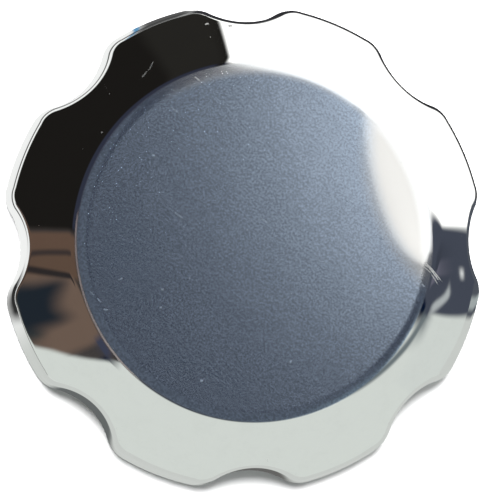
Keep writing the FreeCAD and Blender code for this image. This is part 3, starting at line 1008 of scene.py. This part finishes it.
    def smoothed(self, paint: Paint) -> Socket:
        """Find the flattened place at the disc's edge, which is rubbed bright.

        Args:
            paint: The material.

        Returns:
            The mask.
        """
        cosine, sine = math.cos(self.rub_aim * DEGREE), math.sin(self.rub_aim * DEGREE)
        along = paint.plus(paint.times(paint.x, cosine), paint.times(paint.y, sine))
        beside = paint.math("SUBTRACT", paint.times(paint.y, cosine), paint.times(paint.x, sine))
        bow = paint.times(paint.times(beside, beside), self.rub_bow)
        past = paint.math("SUBTRACT", along, paint.plus(bow, self.rub_start))
        return paint.ramp(past, *self.rub_ramp)

    def tone(self, paint: Paint, satin: Socket, grain: Socket, film: Socket) -> Socket:
        """Colour the satin disc and the chrome round it, with a painted sheen on one side of the disc's
        rounded edge.

        Args:
            paint: The material.
            satin: Where the disc is.
            grain: The disc's grain.
            film: The dust on the chrome.

        Returns:
            The colour.
        """
        disc = paint.mix(paint.ramp(grain, *self.grain_ramp), toned(self.satin, self.grain_shade), self.satin)
        disc = paint.mix(self.smoothed(paint), disc, self.bright)
        # Painted sheen: the disc's rounded edge is coloured lighter only on the side towards the white light.
        side = paint.sector(*self.fillet_sheen_sector)
        disc = paint.mix(paint.times(paint.ramp(paint.radius, *self.fillet_sheen_ramp), side), disc, self.painted_fillet_sheen)
        smudged = toned(self.chrome, self.smudge_shade)
        ring = paint.mix(paint.times(film, self.film_shade), self.chrome, smudged)
        return paint.mix(satin, ring, disc)

    def material(self, effects: Effects) -> bpy.types.Material:
        """Build the material.

        Args:
            effects: The shared effects.

        Returns:
            The cover's outer material.
        """
        paint = Paint("cover_chrome")
        scale, reach = self.satin_wander
        edge = paint.plus(paint.radius, paint.times(paint.noise(paint.place, scale), reach))
        satin = paint.ramp(edge, self.satin_radius - self.satin_edge / 2,
                           self.satin_radius + self.satin_edge / 2, 1.0, 0.0)
        paint.feed(paint.shader.inputs["Metallic"], paint.blend(satin, 1.0, self.satin_metal))
        brushed = paint.shared(effects.grain, Vector=paint.stretched(self.brush_stretch, self.brush_turn),
                               Scale=1.6, Fine_Share=0.4)
        speckled = paint.shared(effects.grain, Scale=3.1, Fine_Share=0.3)
        grain = paint.blend(self.grain_share, brushed, speckled)
        worn = self.worn(paint, effects)
        # The lip: a thin line at the disc's edge on its left side, rougher as a burr and coloured as a
        # painted pinkish highlight.
        sides = paint.math("MAXIMUM", *(paint.sector(*sector) for sector in self.lip_sectors))
        lip = paint.times(paint.band(paint.radius, *self.lip_band), sides)
        rim = paint.ramp(paint.z, *self.rim_ramp)
        rubbed = paint.shared(effects.edge_wear, Edge=rim, Scale=1.3, Amount=0.35)
        film = paint.shared(effects.dust, Scale=0.35, Amount=0.25)
        tone = self.tone(paint, satin, grain, film)
        tone = paint.mix(paint.times(lip, self.lip_highlight_share), tone, self.painted_lip_highlight)
        tone = paint.mix(paint.times(rubbed, self.rub_shade), tone, self.scuffed)
        polish = paint.plus(self.polish, paint.times(film, self.polish_film))
        satin_rough = paint.around(self.satin_roughness, grain, self.satin_spread)
        rough = paint.blend(satin, polish, satin_rough)
        for mask, least in ((worn, self.worn_roughness), (lip, self.lip_roughness),
                            (rubbed, self.rub_roughness)):
            rough = paint.math("MAXIMUM", rough, paint.times(mask, least))
        waves = paint.times(paint.noise(paint.place, self.wave_scale, detail=1.0), self.wave_height)
        relief = paint.times(paint.times(grain, satin), self.grain_relief)
        paint.dress(tone, rough, paint.plus(relief, waves))
        return paint.material


@dataclass(frozen=True)
class PlateFinish:
    """Plated sheet metal: mottled plating, draw rings and worn edges."""

    name: str
    colour: Colour
    shade: Colour
    roughness: float
    ring_spacing: float = 0.35
    wear_top: float = 0.0
    wear_radius: float = 0.0
    wear_width: float = 4.5
    wear_height: float = 0.4
    wear_amount: float = 0.22
    bare: Colour = (0.66, 0.66, 0.67)
    bare_roughness: float = 0.22
    speck_shade: float = 0.4
    speck_share: float = 0.5
    mottle_ramp: Plan = (0.35, 0.65)
    spread: float = 0.16
    film_roughness: float = 0.2
    relief: float = 0.006

    def material(self, effects: Effects) -> bpy.types.Material:
        """Build the material.

        Args:
            effects: The shared effects.

        Returns:
            The plate's material.
        """
        paint = Paint(self.name)
        paint.shader.inputs["Metallic"].default_value = 1.0
        mottle = paint.shared(effects.grain, Scale=0.3, Fine_Share=0.35)
        rings = paint.shared(effects.rings, Spacing=self.ring_spacing)
        specks = paint.shared(effects.specks, Scale=0.6, Size=0.12, Share=0.25)
        film = paint.shared(effects.dust, Scale=0.25, Amount=0.5)
        tone = paint.mix(paint.ramp(mottle, *self.mottle_ramp), self.colour, self.shade)
        edge = paint.ramp(paint.radius, self.wear_radius, self.wear_radius + self.wear_width)
        amount = 0.0
        if self.wear_top:
            edge = paint.times(edge, paint.ramp(paint.z, self.wear_top, self.wear_top - self.wear_height))
            amount = self.wear_amount
        worn = paint.shared(effects.edge_wear, Edge=edge, Scale=0.9, Amount=amount)
        tone = paint.mix(worn, tone, self.bare)
        tone = paint.mix(paint.times(specks, self.speck_share), tone, toned(self.shade, self.speck_shade))
        rough = paint.around(self.roughness, mottle, self.spread)
        rough = paint.plus(rough, paint.times(film, self.film_roughness))
        rough = paint.blend(worn, rough, self.bare_roughness)
        relief = paint.plus(paint.times(rings, self.relief), paint.times(mottle, self.relief))
        paint.dress(tone, rough, relief)
        return paint.material


@dataclass(frozen=True)
class RubberFinish:
    """Black moulded rubber with a dusty bloom and, on a gasket, the neck's pressed ring."""

    name: str
    colour: Colour = (0.018, 0.018, 0.019)
    roughness: float = 0.55
    pressed_radius: float = 0.0
    pressed_half: float = 1.0
    pressed_soft: float = 0.4
    pressed_colour: Colour = (0.035, 0.035, 0.036)
    pressed_roughness: float = 0.34
    pressed_share: float = 0.5
    bloom_shade: float = 4.0
    bloom_share: float = 0.5
    speck_colour: Colour = (0.14, 0.13, 0.12)
    speck_share: float = 0.6
    spread: float = 0.2
    relief: float = 0.02

    def material(self, effects: Effects) -> bpy.types.Material:
        """Build the material.

        Args:
            effects: The shared effects.

        Returns:
            The rubber's material.
        """
        paint = Paint(self.name)
        skin = paint.shared(effects.grain, Scale=1.6, Fine_Share=0.5)
        bloom = paint.shared(effects.dust, Scale=0.4, Amount=0.8)
        specks = paint.shared(effects.specks, Scale=0.8, Size=0.1, Share=0.3)
        bloomed = toned(self.colour, self.bloom_shade)
        tone = paint.mix(paint.times(bloom, self.bloom_share), self.colour, bloomed)
        tone = paint.mix(paint.times(specks, self.speck_share), tone, self.speck_colour)
        rough = paint.around(self.roughness, skin, self.spread)
        if self.pressed_radius:
            pressed = paint.band(paint.radius, self.pressed_radius, self.pressed_half, self.pressed_soft)
            rough = paint.blend(pressed, rough, self.pressed_roughness)
            tone = paint.mix(paint.times(pressed, self.pressed_share), tone, self.pressed_colour)
        paint.dress(tone, rough, paint.times(skin, self.relief))
        return paint.material


@dataclass(frozen=True)
class SteelFinish:
    """Turned, pressed or drawn steel with tool rings, an oil film and a few rust specks."""

    name: str
    colour: Colour = (0.52, 0.52, 0.53)
    roughness: float = 0.3
    ring_spacing: float = 0.12
    rust: float = 0.12
    rust_colour: Colour = (0.20, 0.09, 0.04)
    rust_share: float = 0.8
    rust_roughness: float = 0.4
    oil_shade: float = 0.62
    oil_share: float = 0.6
    spread: float = 0.14
    relief: float = 0.008

    def material(self, effects: Effects) -> bpy.types.Material:
        """Build the material.

        Args:
            effects: The shared effects.

        Returns:
            The steel's material.
        """
        paint = Paint(self.name)
        paint.shader.inputs["Metallic"].default_value = 1.0
        rings = paint.shared(effects.rings, Spacing=self.ring_spacing)
        film = paint.shared(effects.dust, Scale=0.7, Amount=0.9)
        rust = paint.shared(effects.specks, Scale=1.4, Size=0.22, Share=self.rust)
        tone = paint.mix(paint.times(film, self.oil_share), self.colour, toned(self.colour, self.oil_shade))
        tone = paint.mix(paint.times(rust, self.rust_share), tone, self.rust_colour)
        rough = paint.plus(paint.around(self.roughness, rings, self.spread),
                           paint.times(rust, self.rust_roughness))
        paint.dress(tone, rough, paint.times(rings, self.relief))
        return paint.material


@dataclass(frozen=True)
class FibreFinish:
    """Pressed red fibre for the seal under the stud's head."""

    name: str = "seal_fibre"
    colour: Colour = (0.30, 0.10, 0.06)
    shade: Colour = (0.16, 0.05, 0.035)
    stretch: Triple = (600.0, 3200.0, 1000.0)
    turn: float = 25.0
    thread_ramp: Plan = (0.35, 0.65)
    roughness: float = 0.7
    spread: float = 0.2
    relief: float = 0.03

    def material(self, effects: Effects) -> bpy.types.Material:
        """Build the material.

        Args:
            effects: The shared effects.

        Returns:
            The fibre's material.
        """
        paint = Paint(self.name)
        threads = paint.shared(effects.grain, Vector=paint.stretched(self.stretch, self.turn),
                               Scale=1.0, Fine_Share=0.5)
        tone = paint.mix(paint.ramp(threads, *self.thread_ramp), self.colour, self.shade)
        rough = paint.around(self.roughness, threads, self.spread)
        paint.dress(tone, rough, paint.times(threads, self.relief))
        return paint.material


@dataclass(frozen=True)
class FoamFinish:
    """Open-celled dark foam for the vent's filter, with painted shade in the hollows of its cells."""

    name: str = "filter_foam"
    painted_hollow_shade: Colour = (0.012, 0.012, 0.013)
    wall: Colour = (0.075, 0.075, 0.08)
    dusty: Colour = (0.2, 0.19, 0.17)
    cell_scale: float = 2.4
    wall_ramp: tuple[float, ...] = (0.02, 0.16, 1.0, 0.0)
    roughness: float = 0.9
    relief: float = 0.12

    def material(self, effects: Effects) -> bpy.types.Material:
        """Build the material.

        Args:
            effects: The shared effects.

        Returns:
            The foam's material.
        """
        paint = Paint(self.name)
        cells = paint.add("ShaderNodeTexVoronoi", feature="DISTANCE_TO_EDGE")
        paint.feed(cells.inputs["Vector"], paint.place)
        cells.inputs["Scale"].default_value = self.cell_scale
        walls = paint.ramp(cells.outputs["Distance"], *self.wall_ramp)
        dust = paint.shared(effects.dust, Scale=0.5, Amount=0.7)
        # Painted shade: the hollows of the cells are coloured near black, the walls lighter.
        tone = paint.mix(walls, self.painted_hollow_shade, self.wall)
        tone = paint.mix(paint.times(dust, walls), tone, self.dusty)
        paint.dress(tone, self.roughness, paint.times(walls, self.relief))
        return paint.material


# The parts behind the cover

def dress(node: str, material: bpy.types.Material) -> bpy.types.Object:
    """Give a solid of the frame its finish.

    Args:
        node: The solid's name.
        material: Its material.

    Returns:
        The solid's object.
    """
    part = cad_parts[node]
    if not part.material_slots:
        part.data.materials.append(material)
    for place in part.material_slots:
        place.material = material
    return part


def dress_all(effects: Effects, **finishes: Finish) -> list[bpy.types.Object]:
    """Give several solids their finishes, by the solids' names."""
    return [dress(node, finish.material(effects)) for node, finish in finishes.items()]


@dataclass
class Liner:
    """The pressed pan that closes the cover, and the rubber gasket in its top. Millimetres."""

    pan: PlateFinish = PlateFinish("liner_zinc", (0.60, 0.62, 0.65), (0.44, 0.46, 0.50), 0.34)
    rubber: RubberFinish = RubberFinish("gasket_rubber", pressed_radius=25.4, pressed_half=2.6)
    gasket_bore: float = 20.0
    gasket_edge: float = 29.1
    gasket_under: float = 7.509
    gasket_top: float = 10.009
    gasket_round: float = 0.3
    round_steps: int = 6
    pressed_depth: float = 0.12
    pressed_power: float = 0.6
    pressed_shares: tuple[float, ...] = (1.0, 0.96, 0.85, 0.6, 0.3, 0.0, -0.3, -0.6, -0.85, -0.96, -1.0)
    steps: int = 160

    def gasket_section(self) -> list[Plan]:
        """Draw the gasket's section, with the shallow groove that the neck's lip has pressed.

        Returns:
            Its corners, from the top's inner corner round to the bore.
        """
        box = [Vector((self.gasket_bore, self.gasket_top)), Vector((self.gasket_edge, self.gasket_top)),
               Vector((self.gasket_edge, self.gasket_under)), Vector((self.gasket_bore, self.gasket_under))]
        bore = (box[0] + box[3]) / 2
        path = rounded_path([bore, *box, bore], [self.gasket_round] * 4, [self.round_steps] * 4)[1:]
        depths = (self.pressed_depth * math.cos(share * math.pi / 2) ** self.pressed_power
                  for share in self.pressed_shares)
        middle, half = self.rubber.pressed_radius, self.rubber.pressed_half
        under = [Vector((middle + half * share, self.gasket_under + depth))
                 for share, depth in zip(self.pressed_shares, depths)]
        outer = 3 * (self.round_steps + 1)
        return [(p.x, p.y) for p in path[:outer] + under + path[outer:]]

    def build(self, effects: Effects) -> list[bpy.types.Object]:
        """Dress the pan, and build the gasket in place of its solid.

        Args:
            effects: The shared effects.

        Returns:
            The pan and the gasket.
        """
        pan = dress("liner_plate", self.pan.material(effects))
        gasket = spun("gasket_ring", self.gasket_section(), self.steps)
        gasket.data.materials.append(self.rubber.material(effects))
        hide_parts("gasket")
        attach(gasket, "cap_body")
        return [pan, gasket]


@dataclass
class Drum:
    """The sliding bayonet cup and the washer that the spring presses on."""

    cup: PlateFinish = PlateFinish("drum_zinc", (0.74, 0.60, 0.31), (0.60, 0.50, 0.36), 0.3,
                                   wear_top=2.7, wear_radius=18.0)
    washer: SteelFinish = SteelFinish("washer_steel", (0.55, 0.55, 0.56), 0.28, 0.2)

    def build(self, effects: Effects) -> list[bpy.types.Object]:
        """Dress the cup and its washer."""
        return dress_all(effects, bayonet_drum=self.cup, thrust_washer=self.washer)


@dataclass
class Spring:
    """The coil round the stud, ground flat at both ends. The real one shortens as the drum slides; this class
    builds it at one length. Metres.
    """

    finish: SteelFinish = SteelFinish("spring_steel", (0.46, 0.46, 0.48), 0.24, 0.09, 0.2)
    wire_radius: float = 0.55 * MM
    coil_radius: float = 6.7 * MM
    turns: float = 3.25
    travel: float = 1.5 * MM
    turn_steps: int = 48
    wire_steps: int = 16

    def wound(self, low: float, high: float) -> bmesh.types.BMesh:
        """Wind the wire up the axis and grind its ends.

        Args:
            low: The lower end's height.
            high: The upper end's height.

        Returns:
            The closed coil.
        """
        steps = round(self.turns * self.turn_steps)
        bm = bmesh.new()
        upright = Matrix.Translation((self.coil_radius, 0.0, low)) @ Matrix.Rotation(math.pi / 2, 4, "X")
        bmesh.ops.create_circle(bm, segments=self.wire_steps, radius=self.wire_radius, matrix=upright)
        bmesh.ops.spin(bm, geom=bm.verts[:] + bm.edges[:], cent=(0, 0, 0), axis=(0, 0, 1),
                       dvec=(0, 0, (high - low) / steps), angle=2 * math.pi * self.turns, steps=steps)
        for height, side in ((low, -1.0), (high, 1.0)):
            bmesh.ops.bisect_plane(bm, geom=bm.verts[:] + bm.edges[:] + bm.faces[:], dist=WIRE_WELD,
                                   plane_co=(0, 0, height), plane_no=(0, 0, side), clear_outer=True)
            bmesh.ops.remove_doubles(bm, verts=bm.verts, dist=WIRE_WELD)
        bmesh.ops.holes_fill(bm, edges=[edge for edge in bm.edges if edge.is_boundary], sides=0)
        bmesh.ops.recalc_face_normals(bm, faces=bm.faces)
        if bm.calc_volume(signed=True) < 0:
            bmesh.ops.reverse_faces(bm, faces=bm.faces)
        return bm

    def build(self, effects: Effects) -> list[bpy.types.Object]:
        """Build and dress the coil in place of its solid.

        Args:
            effects: The shared effects.

        Returns:
            The coil.
        """
        low, high = (corner[2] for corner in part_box("spring"))
        coil = mesh_object("spring_coil", self.wound(low, high))
        coil.data.materials.append(self.finish.material(effects))
        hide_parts("spring")
        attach(coil, "cap_body")
        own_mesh(coil)
        return [coil]


@dataclass
class Stud:
    """The stud with its seal and spring seat."""

    turned: SteelFinish = SteelFinish("stud_steel", (0.56, 0.56, 0.57), 0.27, 0.1)
    pressed: SteelFinish = SteelFinish("seat_steel", (0.55, 0.55, 0.56), 0.32, 0.3)
    seal: FibreFinish = FibreFinish()

    def build(self, effects: Effects) -> list[bpy.types.Object]:
        """Dress the three parts on the cap's axis."""
        return dress_all(effects, stud=self.turned, spring_seat=self.pressed, stud_seal=self.seal)


@dataclass
class Vent:
    """The umbrella valve, the foam that keeps dust out, and the lid over it."""

    valve: RubberFinish = RubberFinish("valve_rubber", (0.03, 0.028, 0.026), 0.5)
    foam: FoamFinish = FoamFinish()
    lid: PlateFinish = PlateFinish("baffle_steel", (0.56, 0.57, 0.58), (0.42, 0.43, 0.45), 0.35)

    def build(self, effects: Effects) -> list[bpy.types.Object]:
        """Dress the three parts of the vent."""
        return dress_all(effects, vent_valve=self.valve, vent_filter=self.foam, vent_baffle=self.lid)


# The studio

@dataclass(frozen=True)
class Card:
    """A soft-edged panel.

    Across is an azimuth in degrees, and up is in degrees or, on the floor, in millimetres from the
    axis. Lean is how many degrees across it goes for each unit up.
    """

    name: str
    across: float
    up: float
    half_width: float
    half_height: float
    soft_across: float
    soft_up: float
    colour: Colour = (0.0, 0.0, 0.0)
    lean: float = 0.0


@dataclass
class Studio:
    """White paper that glows with painted tones in mirrored rays, a soft surround of light and dark panels,
    and the camera.
    """

    paper_half: float = 70.0
    paper_hole: float = 34.2
    # The paper's glow in mirrored rays, under the painted panels below.
    paper_glow: Colour = (0.9, 0.91, 0.9)
    paper_tones: tuple[Colour, Colour] = ((0.9, 0.9, 0.9), (0.92, 0.92, 0.92))
    paper_fibre: float = 900.0
    lamp_size: float = 260.0
    lamp_power: float = 11.0
    lamp_place: Triple = (-30.0, 220.0, 680.0)
    distance: float = 400.0
    tilt: float = 8.6
    azimuth: float = 199.0
    roll: float = 1.0
    lens: float = 184.7
    sensor: float = 36.0
    shift: Plan = (-0.0017, -0.0069)
    zenith: Colour = (0.002, 0.007, 0.025)
    cards: tuple[Card, ...] = (
        Card("low_white", 180.0, -35.0, 200.0, 35.0, 1.0, 3.0, (0.86, 0.88, 0.86)),
        Card("pale_side", 281.0, 16.0, 58.0, 29.0, 8.0, 8.0, (0.66, 0.70, 0.665)),
        Card("upper_glow", 225.0, 69.0, 110.0, 20.0, 12.0, 6.0, (0.084, 0.091, 0.106)),
        Card("upper_dark", 300.0, 48.5, 50.0, 3.0, 14.0, 4.0, (0.040, 0.048, 0.066)),
        Card("black_side", 130.5, 20.0, 42.0, 27.0, 1.5, 4.0, (0.011, 0.010, 0.009)),
        Card("black_warm", 99.0, 12.0, 9.0, 20.0, 5.0, 6.0, (0.019, 0.018, 0.016)),
        Card("black_blue", 131.0, 42.0, 40.0, 10.0, 3.0, 6.0, (0.028, 0.032, 0.052)),
        Card("dusk_far", 203.0, 22.0, 17.5, 30.0, 2.5, 3.0, (0.052, 0.046, 0.045), 0.2),
        Card("dusk", 189.5, 19.0, 17.5, 33.0, 2.5, 4.0, (0.050, 0.042, 0.038)),
        Card("warm_near", 176.0, 20.0, 3.0, 30.0, 2.0, 6.0, (0.115, 0.072, 0.052)),
        Card("warm_mid", 184.0, 21.0, 6.0, 22.0, 2.5, 6.0, (0.110, 0.070, 0.050)),
        Card("warm_far", 202.5, 23.0, 13.0, 19.0, 4.0, 8.0, (0.150, 0.104, 0.080), 0.25),
        Card("thin_dark", 179.5, 12.0, 0.8, 14.0, 1.4, 5.0, (0.045, 0.034, 0.032)),
        Card("slant_dark", 186.0, 10.0, 1.0, 12.0, 1.4, 5.0, (0.026, 0.022, 0.022), 0.5),
        Card("blue_rim", 196.0, 3.0, 7.0, 4.0, 4.0, 3.0, (0.040, 0.044, 0.044)),
        Card("blue_patch", 194.5, 8.0, 6.4, 4.0, 5.0, 4.0, (0.014, 0.020, 0.028)),
        Card("blue_spot", 216.0, 28.0, 4.0, 13.0, 4.0, 5.0, (0.045, 0.052, 0.085)),
        Card("pale_low", 229.0, 6.0, 21.5, 10.0, 3.0, 3.0, (0.66, 0.70, 0.665), 1.75),
        Card("fade", 336.0, 14.0, 8.0, 44.0, 12.0, 4.0, (0.16, 0.19, 0.20), -0.6),
        Card("dark_side", 355.7, 12.0, 13.0, 44.0, 2.5, 12.0, (0.058, 0.067, 0.092), 0.15),
        Card("dark_core", 358.0, 6.0, 4.0, 10.0, 5.0, 8.0, (0.045, 0.052, 0.072)),
        Card("pale_foot", 335.0, -8.0, 9.9, 7.0, 2.0, 2.0, (0.64, 0.68, 0.65), -0.35),
        Card("thin_pale", 347.2, -2.6, 1.6, 1.7, 2.4, 1.2, (0.42, 0.45, 0.46), -2.4),
        Card("glint", 355.2, -8.1, 1.0, 0.45, 2.2, 1.0, (0.70, 0.72, 0.72)),
        Card("thin_grey", 353.6, 11.0, 1.6, 14.0, 1.6, 8.0, (0.13, 0.13, 0.17), -0.2),
    )
    key: Card = Card("white_side", 48.5, 26.0, 42.5, 64.0, 1.6, 2.0, (1.45, 1.45, 1.42))
    # Painted tones the paper glows with in mirrored rays: grey and dark panels, a glow brighter than white on
    # the right, and painted shade and a painted shadow line near the rim.
    floor_glow_cards: tuple[Card, ...] = (
        Card("grey_side", 275.0, 50.0, 75.0, 60.0, 14.0, 1.0, (0.60, 0.625, 0.60)),
        Card("rim_shade", 276.0, 34.0, 44.0, 3.4, 16.0, 1.8, (0.13, 0.13, 0.125)),
        Card("left_rim_shade", 226.0, 34.0, 15.0, 3.2, 6.0, 1.6, (0.13, 0.14, 0.14)),
        Card("dark_notch", 190.0, 48.0, 7.0, 10.0, 4.0, 3.0, (0.03, 0.03, 0.03)),
        Card("white_right", 50.0, 50.0, 41.0, 60.0, 2.0, 1.0, (1.25, 1.25, 1.22)),
        Card("rim_right", 40.0, 44.0, 50.0, 9.0, 8.0, 3.0, (0.03, 0.03, 0.035)),
        Card("dark_top", 92.0, 50.0, 9.0, 60.0, 6.0, 1.0, (0.035, 0.035, 0.04)),
        Card("dark_top_left", 108.0, 50.0, 7.0, 60.0, 6.0, 1.0, (0.10, 0.10, 0.10)),
        Card("blue_glint", 115.5, 50.0, 0.8, 60.0, 1.0, 1.0, (0.12, 0.30, 0.50)),
        Card("shadow_line", 140.0, 45.5, 38.0, 2.6, 6.0, 1.8, (0.05, 0.05, 0.05)),
        Card("dark_right", 356.5, 50.0, 13.0, 60.0, 2.0, 1.0, (0.08, 0.09, 0.11)),
        Card("pale_right", 347.0, 50.0, 1.5, 60.0, 2.0, 1.0, (0.36, 0.40, 0.40)),
    )
    wobble: tuple[Card, ...] = (
        Card("warm_ripple", 190.0, 14.0, 15.0, 40.0, 8.0, 8.0),
        Card("dark_ripple", 344.0, 14.0, 14.0, 40.0, 6.0, 8.0),
    )
    wobble_turn: float = 7.0
    wobble_scales: Plan = (3.4, 4.3)
    wobble_detail: float = 0.4
    key_bow: float = 0.2
    key_foot: Plan = (1.2, -0.08)
    key_edge: Plan = (0.15, 0.21)

    def card_mask(self) -> bpy.types.NodeTree:
        """Build the group that finds where a panel stands.

        Returns:
            The group's tree.
        """
        group = Group("studio_card", ("Across", "Up", "Card Across", "Card Up", "Half Width",
                                      "Half Height", "Soft Across", "Soft Up", "Lean"), "Mask")
        given = group.given
        above = group.math("SUBTRACT", given["Up"], given["Card Up"])
        apart = group.math("SUBTRACT", given["Across"], given["Card Across"])
        apart = group.math("SUBTRACT", apart, group.times(above, given["Lean"]))
        apart = group.math("WRAP", apart, math.pi, -math.pi)
        masks = []
        for gap, half, soft in ((apart, given["Half Width"], given["Soft Across"]),
                                (above, given["Half Height"], given["Soft Up"])):
            past = group.math("SUBTRACT", group.math("ABSOLUTE", gap), half)
            masks.append(group.ramp(group.math("DIVIDE", past, soft), -0.5, 0.5, 1.0, 0.0))
        return group.give(group.times(*masks))

    def place_card(self, tree: Tree, mask: bpy.types.NodeTree, card: Card, across: Socket, up: Socket,
                   unit: float) -> Socket:
        """Place one panel.

        Args:
            tree: The tree to add to.
            mask: The panels' group.
            card: The panel.
            across: The azimuth in radians.
            up: The height.
            unit: One of the panel's heights in the unit of up.

        Returns:
            The panel's mask.
        """
        placed = tree.group(mask, Across=across, Up=up, Card_Across=card.across * DEGREE,
                            Card_Up=card.up * unit, Half_Width=card.half_width * DEGREE,
                            Half_Height=card.half_height * unit, Soft_Across=card.soft_across * DEGREE,
                            Soft_Up=card.soft_up * unit, Lean=card.lean * DEGREE / unit)
        placed.label = card.name
        return placed.outputs[0]

    def build_world(self, mask: bpy.types.NodeTree) -> None:
        """Paint the surround's panels by direction, and show the camera plain white.

        Args:
            mask: The panels' group.
        """
        world = bpy.data.worlds.new("studio")
        world.use_nodes = True
        bpy.context.scene.world = world
        tree = Tree(world.node_tree)
        aim = tree.add("ShaderNodeTexCoord").outputs["Generated"]
        x, y, z = tree.split(aim)
        azimuth, rise = tree.math("ARCTAN2", y, x), tree.math("ARCSINE", z)
        ripple: object = 0.0
        for card in self.wobble:
            ripple = tree.math("MAXIMUM", ripple, self.place_card(tree, mask, card, azimuth, rise, DEGREE))
        bent = [tree.times(tree.math("SUBTRACT", tree.noise(aim, scale, self.wobble_detail), 0.5),
                          self.wobble_turn * DEGREE) for scale in self.wobble_scales]
        azimuth = tree.plus(azimuth, tree.times(bent[0], ripple))
        rise = tree.plus(rise, tree.times(bent[1], ripple))
        bow = tree.times(tree.times(y, y), self.key_bow)
        low = tree.math("MINIMUM", tree.math("MULTIPLY_ADD", y, *self.key_foot), 0.0)
        near_side = tree.ramp(tree.plus(tree.plus(x, bow), low), *self.key_edge)
        colour: object = self.zenith
        for number, card in enumerate(self.cards):
            colour = tree.mix(self.place_card(tree, mask, card, azimuth, rise, DEGREE), colour, card.colour)
            if number == 0:
                lit = self.place_card(tree, mask, self.key, azimuth, rise, DEGREE)
                colour = tree.mix(tree.times(lit, near_side), colour, self.key.colour)
        surround, white = (tree.add("ShaderNodeBackground") for _ in range(2))
        tree.feed(surround.inputs[0], colour)
        tree.feed(white.inputs[0], (1.0, 1.0, 1.0))
        seen = tree.add("ShaderNodeLightPath").outputs["Is Camera Ray"]
        chosen = tree.choose(seen, surround.outputs[0], white.outputs[0])
        tree.feed(tree.add("ShaderNodeOutputWorld").inputs[0], chosen)

    def paper_material(self, mask: bpy.types.NodeTree) -> bpy.types.Material:
        """Build the paper's material: white and matt to the camera and the light; in mirrored rays it glows
        with painted tones instead, with painted shade near the rim; clear from below.

        Args:
            mask: The panels' group.

        Returns:
            The material.
        """
        material = bpy.data.materials.new("paper")
        material.use_nodes = True
        tree = Tree(material.node_tree)
        place = tree.add("ShaderNodeTexCoord").outputs["Object"]
        x, y, _ = tree.split(place)
        azimuth, radius = tree.math("ARCTAN2", y, x), tree.length(x, y)
        tone: object = self.paper_glow
        for card in self.floor_glow_cards:
            tone = tree.mix(self.place_card(tree, mask, card, azimuth, radius, MM), tone, card.colour)
        glowing, matt = tree.add("ShaderNodeEmission"), tree.add("ShaderNodeBsdfDiffuse")
        tree.feed(glowing.inputs[0], tone)
        tree.feed(matt.inputs[0], tree.mix(tree.noise(place, self.paper_fibre, 3.0), *self.paper_tones))
        # Mirrored rays see the painted glow, all other rays the matt paper.
        glossy = tree.add("ShaderNodeLightPath").outputs["Is Glossy Ray"]
        sheet = tree.choose(glossy, matt.outputs[0], glowing.outputs[0])
        under = tree.math("LESS_THAN", radius, self.paper_hole * MM)
        below = tree.math("MAXIMUM", under, tree.add("ShaderNodeNewGeometry").outputs["Backfacing"])
        clear = tree.choose(below, sheet, tree.add("ShaderNodeBsdfTransparent").outputs[0])
        tree.feed(tree.add("ShaderNodeOutputMaterial").inputs[0], clear)
        return material

    def build_paper(self, mask: bpy.types.NodeTree) -> bpy.types.Object:
        """Lay a sheet of white paper under the cap.

        Args:
            mask: The panels' group.

        Returns:
            The paper's object.
        """
        bm = bmesh.new()
        bmesh.ops.create_grid(bm, x_segments=1, y_segments=1, size=self.paper_half * MM)
        paper = mesh_object("paper", bm)
        paper.data.materials.append(self.paper_material(mask))
        return paper

    def build_light(self) -> None:
        """Hang one large soft light over the paper, which the metal doesn't mirror."""
        light = bpy.data.lights.new("soft_box", "AREA")
        light.shape = "DISK"
        light.size = self.lamp_size * MM
        light.energy = self.lamp_power
        lamp = bpy.data.objects.new("soft_box", light)
        lamp.location = Vector(self.lamp_place) * MM
        lamp.rotation_mode = "QUATERNION"
        lamp.rotation_quaternion = lamp.location.to_track_quat("Z", "Y")
        lamp.visible_glossy = False
        lamp.visible_camera = False
        bpy.context.scene.collection.objects.link(lamp)

    def build_camera(self) -> None:
        """Look down on the cap at the photograph's angle."""
        tilt, azimuth, roll = (angle * DEGREE for angle in (self.tilt, self.azimuth, self.roll))
        flat = Vector((math.cos(azimuth), math.sin(azimuth), 0.0))
        back = flat * math.sin(tilt) + Vector((0.0, 0.0, math.cos(tilt)))
        side = Vector((math.sin(roll), math.cos(roll), 0.0)).cross(back).normalized()
        turn = Matrix((side, back.cross(side), back)).transposed().to_4x4()
        camera = bpy.data.objects.new("camera", bpy.data.cameras.new("camera"))
        camera.data.lens = self.lens
        camera.data.sensor_width = self.sensor
        camera.data.shift_x, camera.data.shift_y = self.shift
        camera.matrix_world = Matrix.Translation(back * self.distance * MM) @ turn
        bpy.context.scene.collection.objects.link(camera)
        bpy.context.scene.camera = camera

    def build(self) -> None:
        """Set up the whole studio."""
        mask = self.card_mask()
        self.build_world(mask)
        self.build_paper(mask)
        self.build_light()
        self.build_camera()
        bpy.context.scene.view_settings.view_transform = "Standard"


def main() -> None:
    """Build the studio and each sub-assembly in order."""
    logging.basicConfig(level=logging.INFO, format="%(message)s")
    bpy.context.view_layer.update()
    Studio().build()
    effects = Effects()
    for assembly in (Cover(), Liner(), Spring(), Drum(), Stud(), Vent()):
        for piece in assembly.build(effects):
            faces, finish = len(piece.data.polygons), piece.material_slots[0].name
            LOG.info("%s: %d faces in %s", piece.name, faces, finish)


if __name__ == "__main__":
    main()
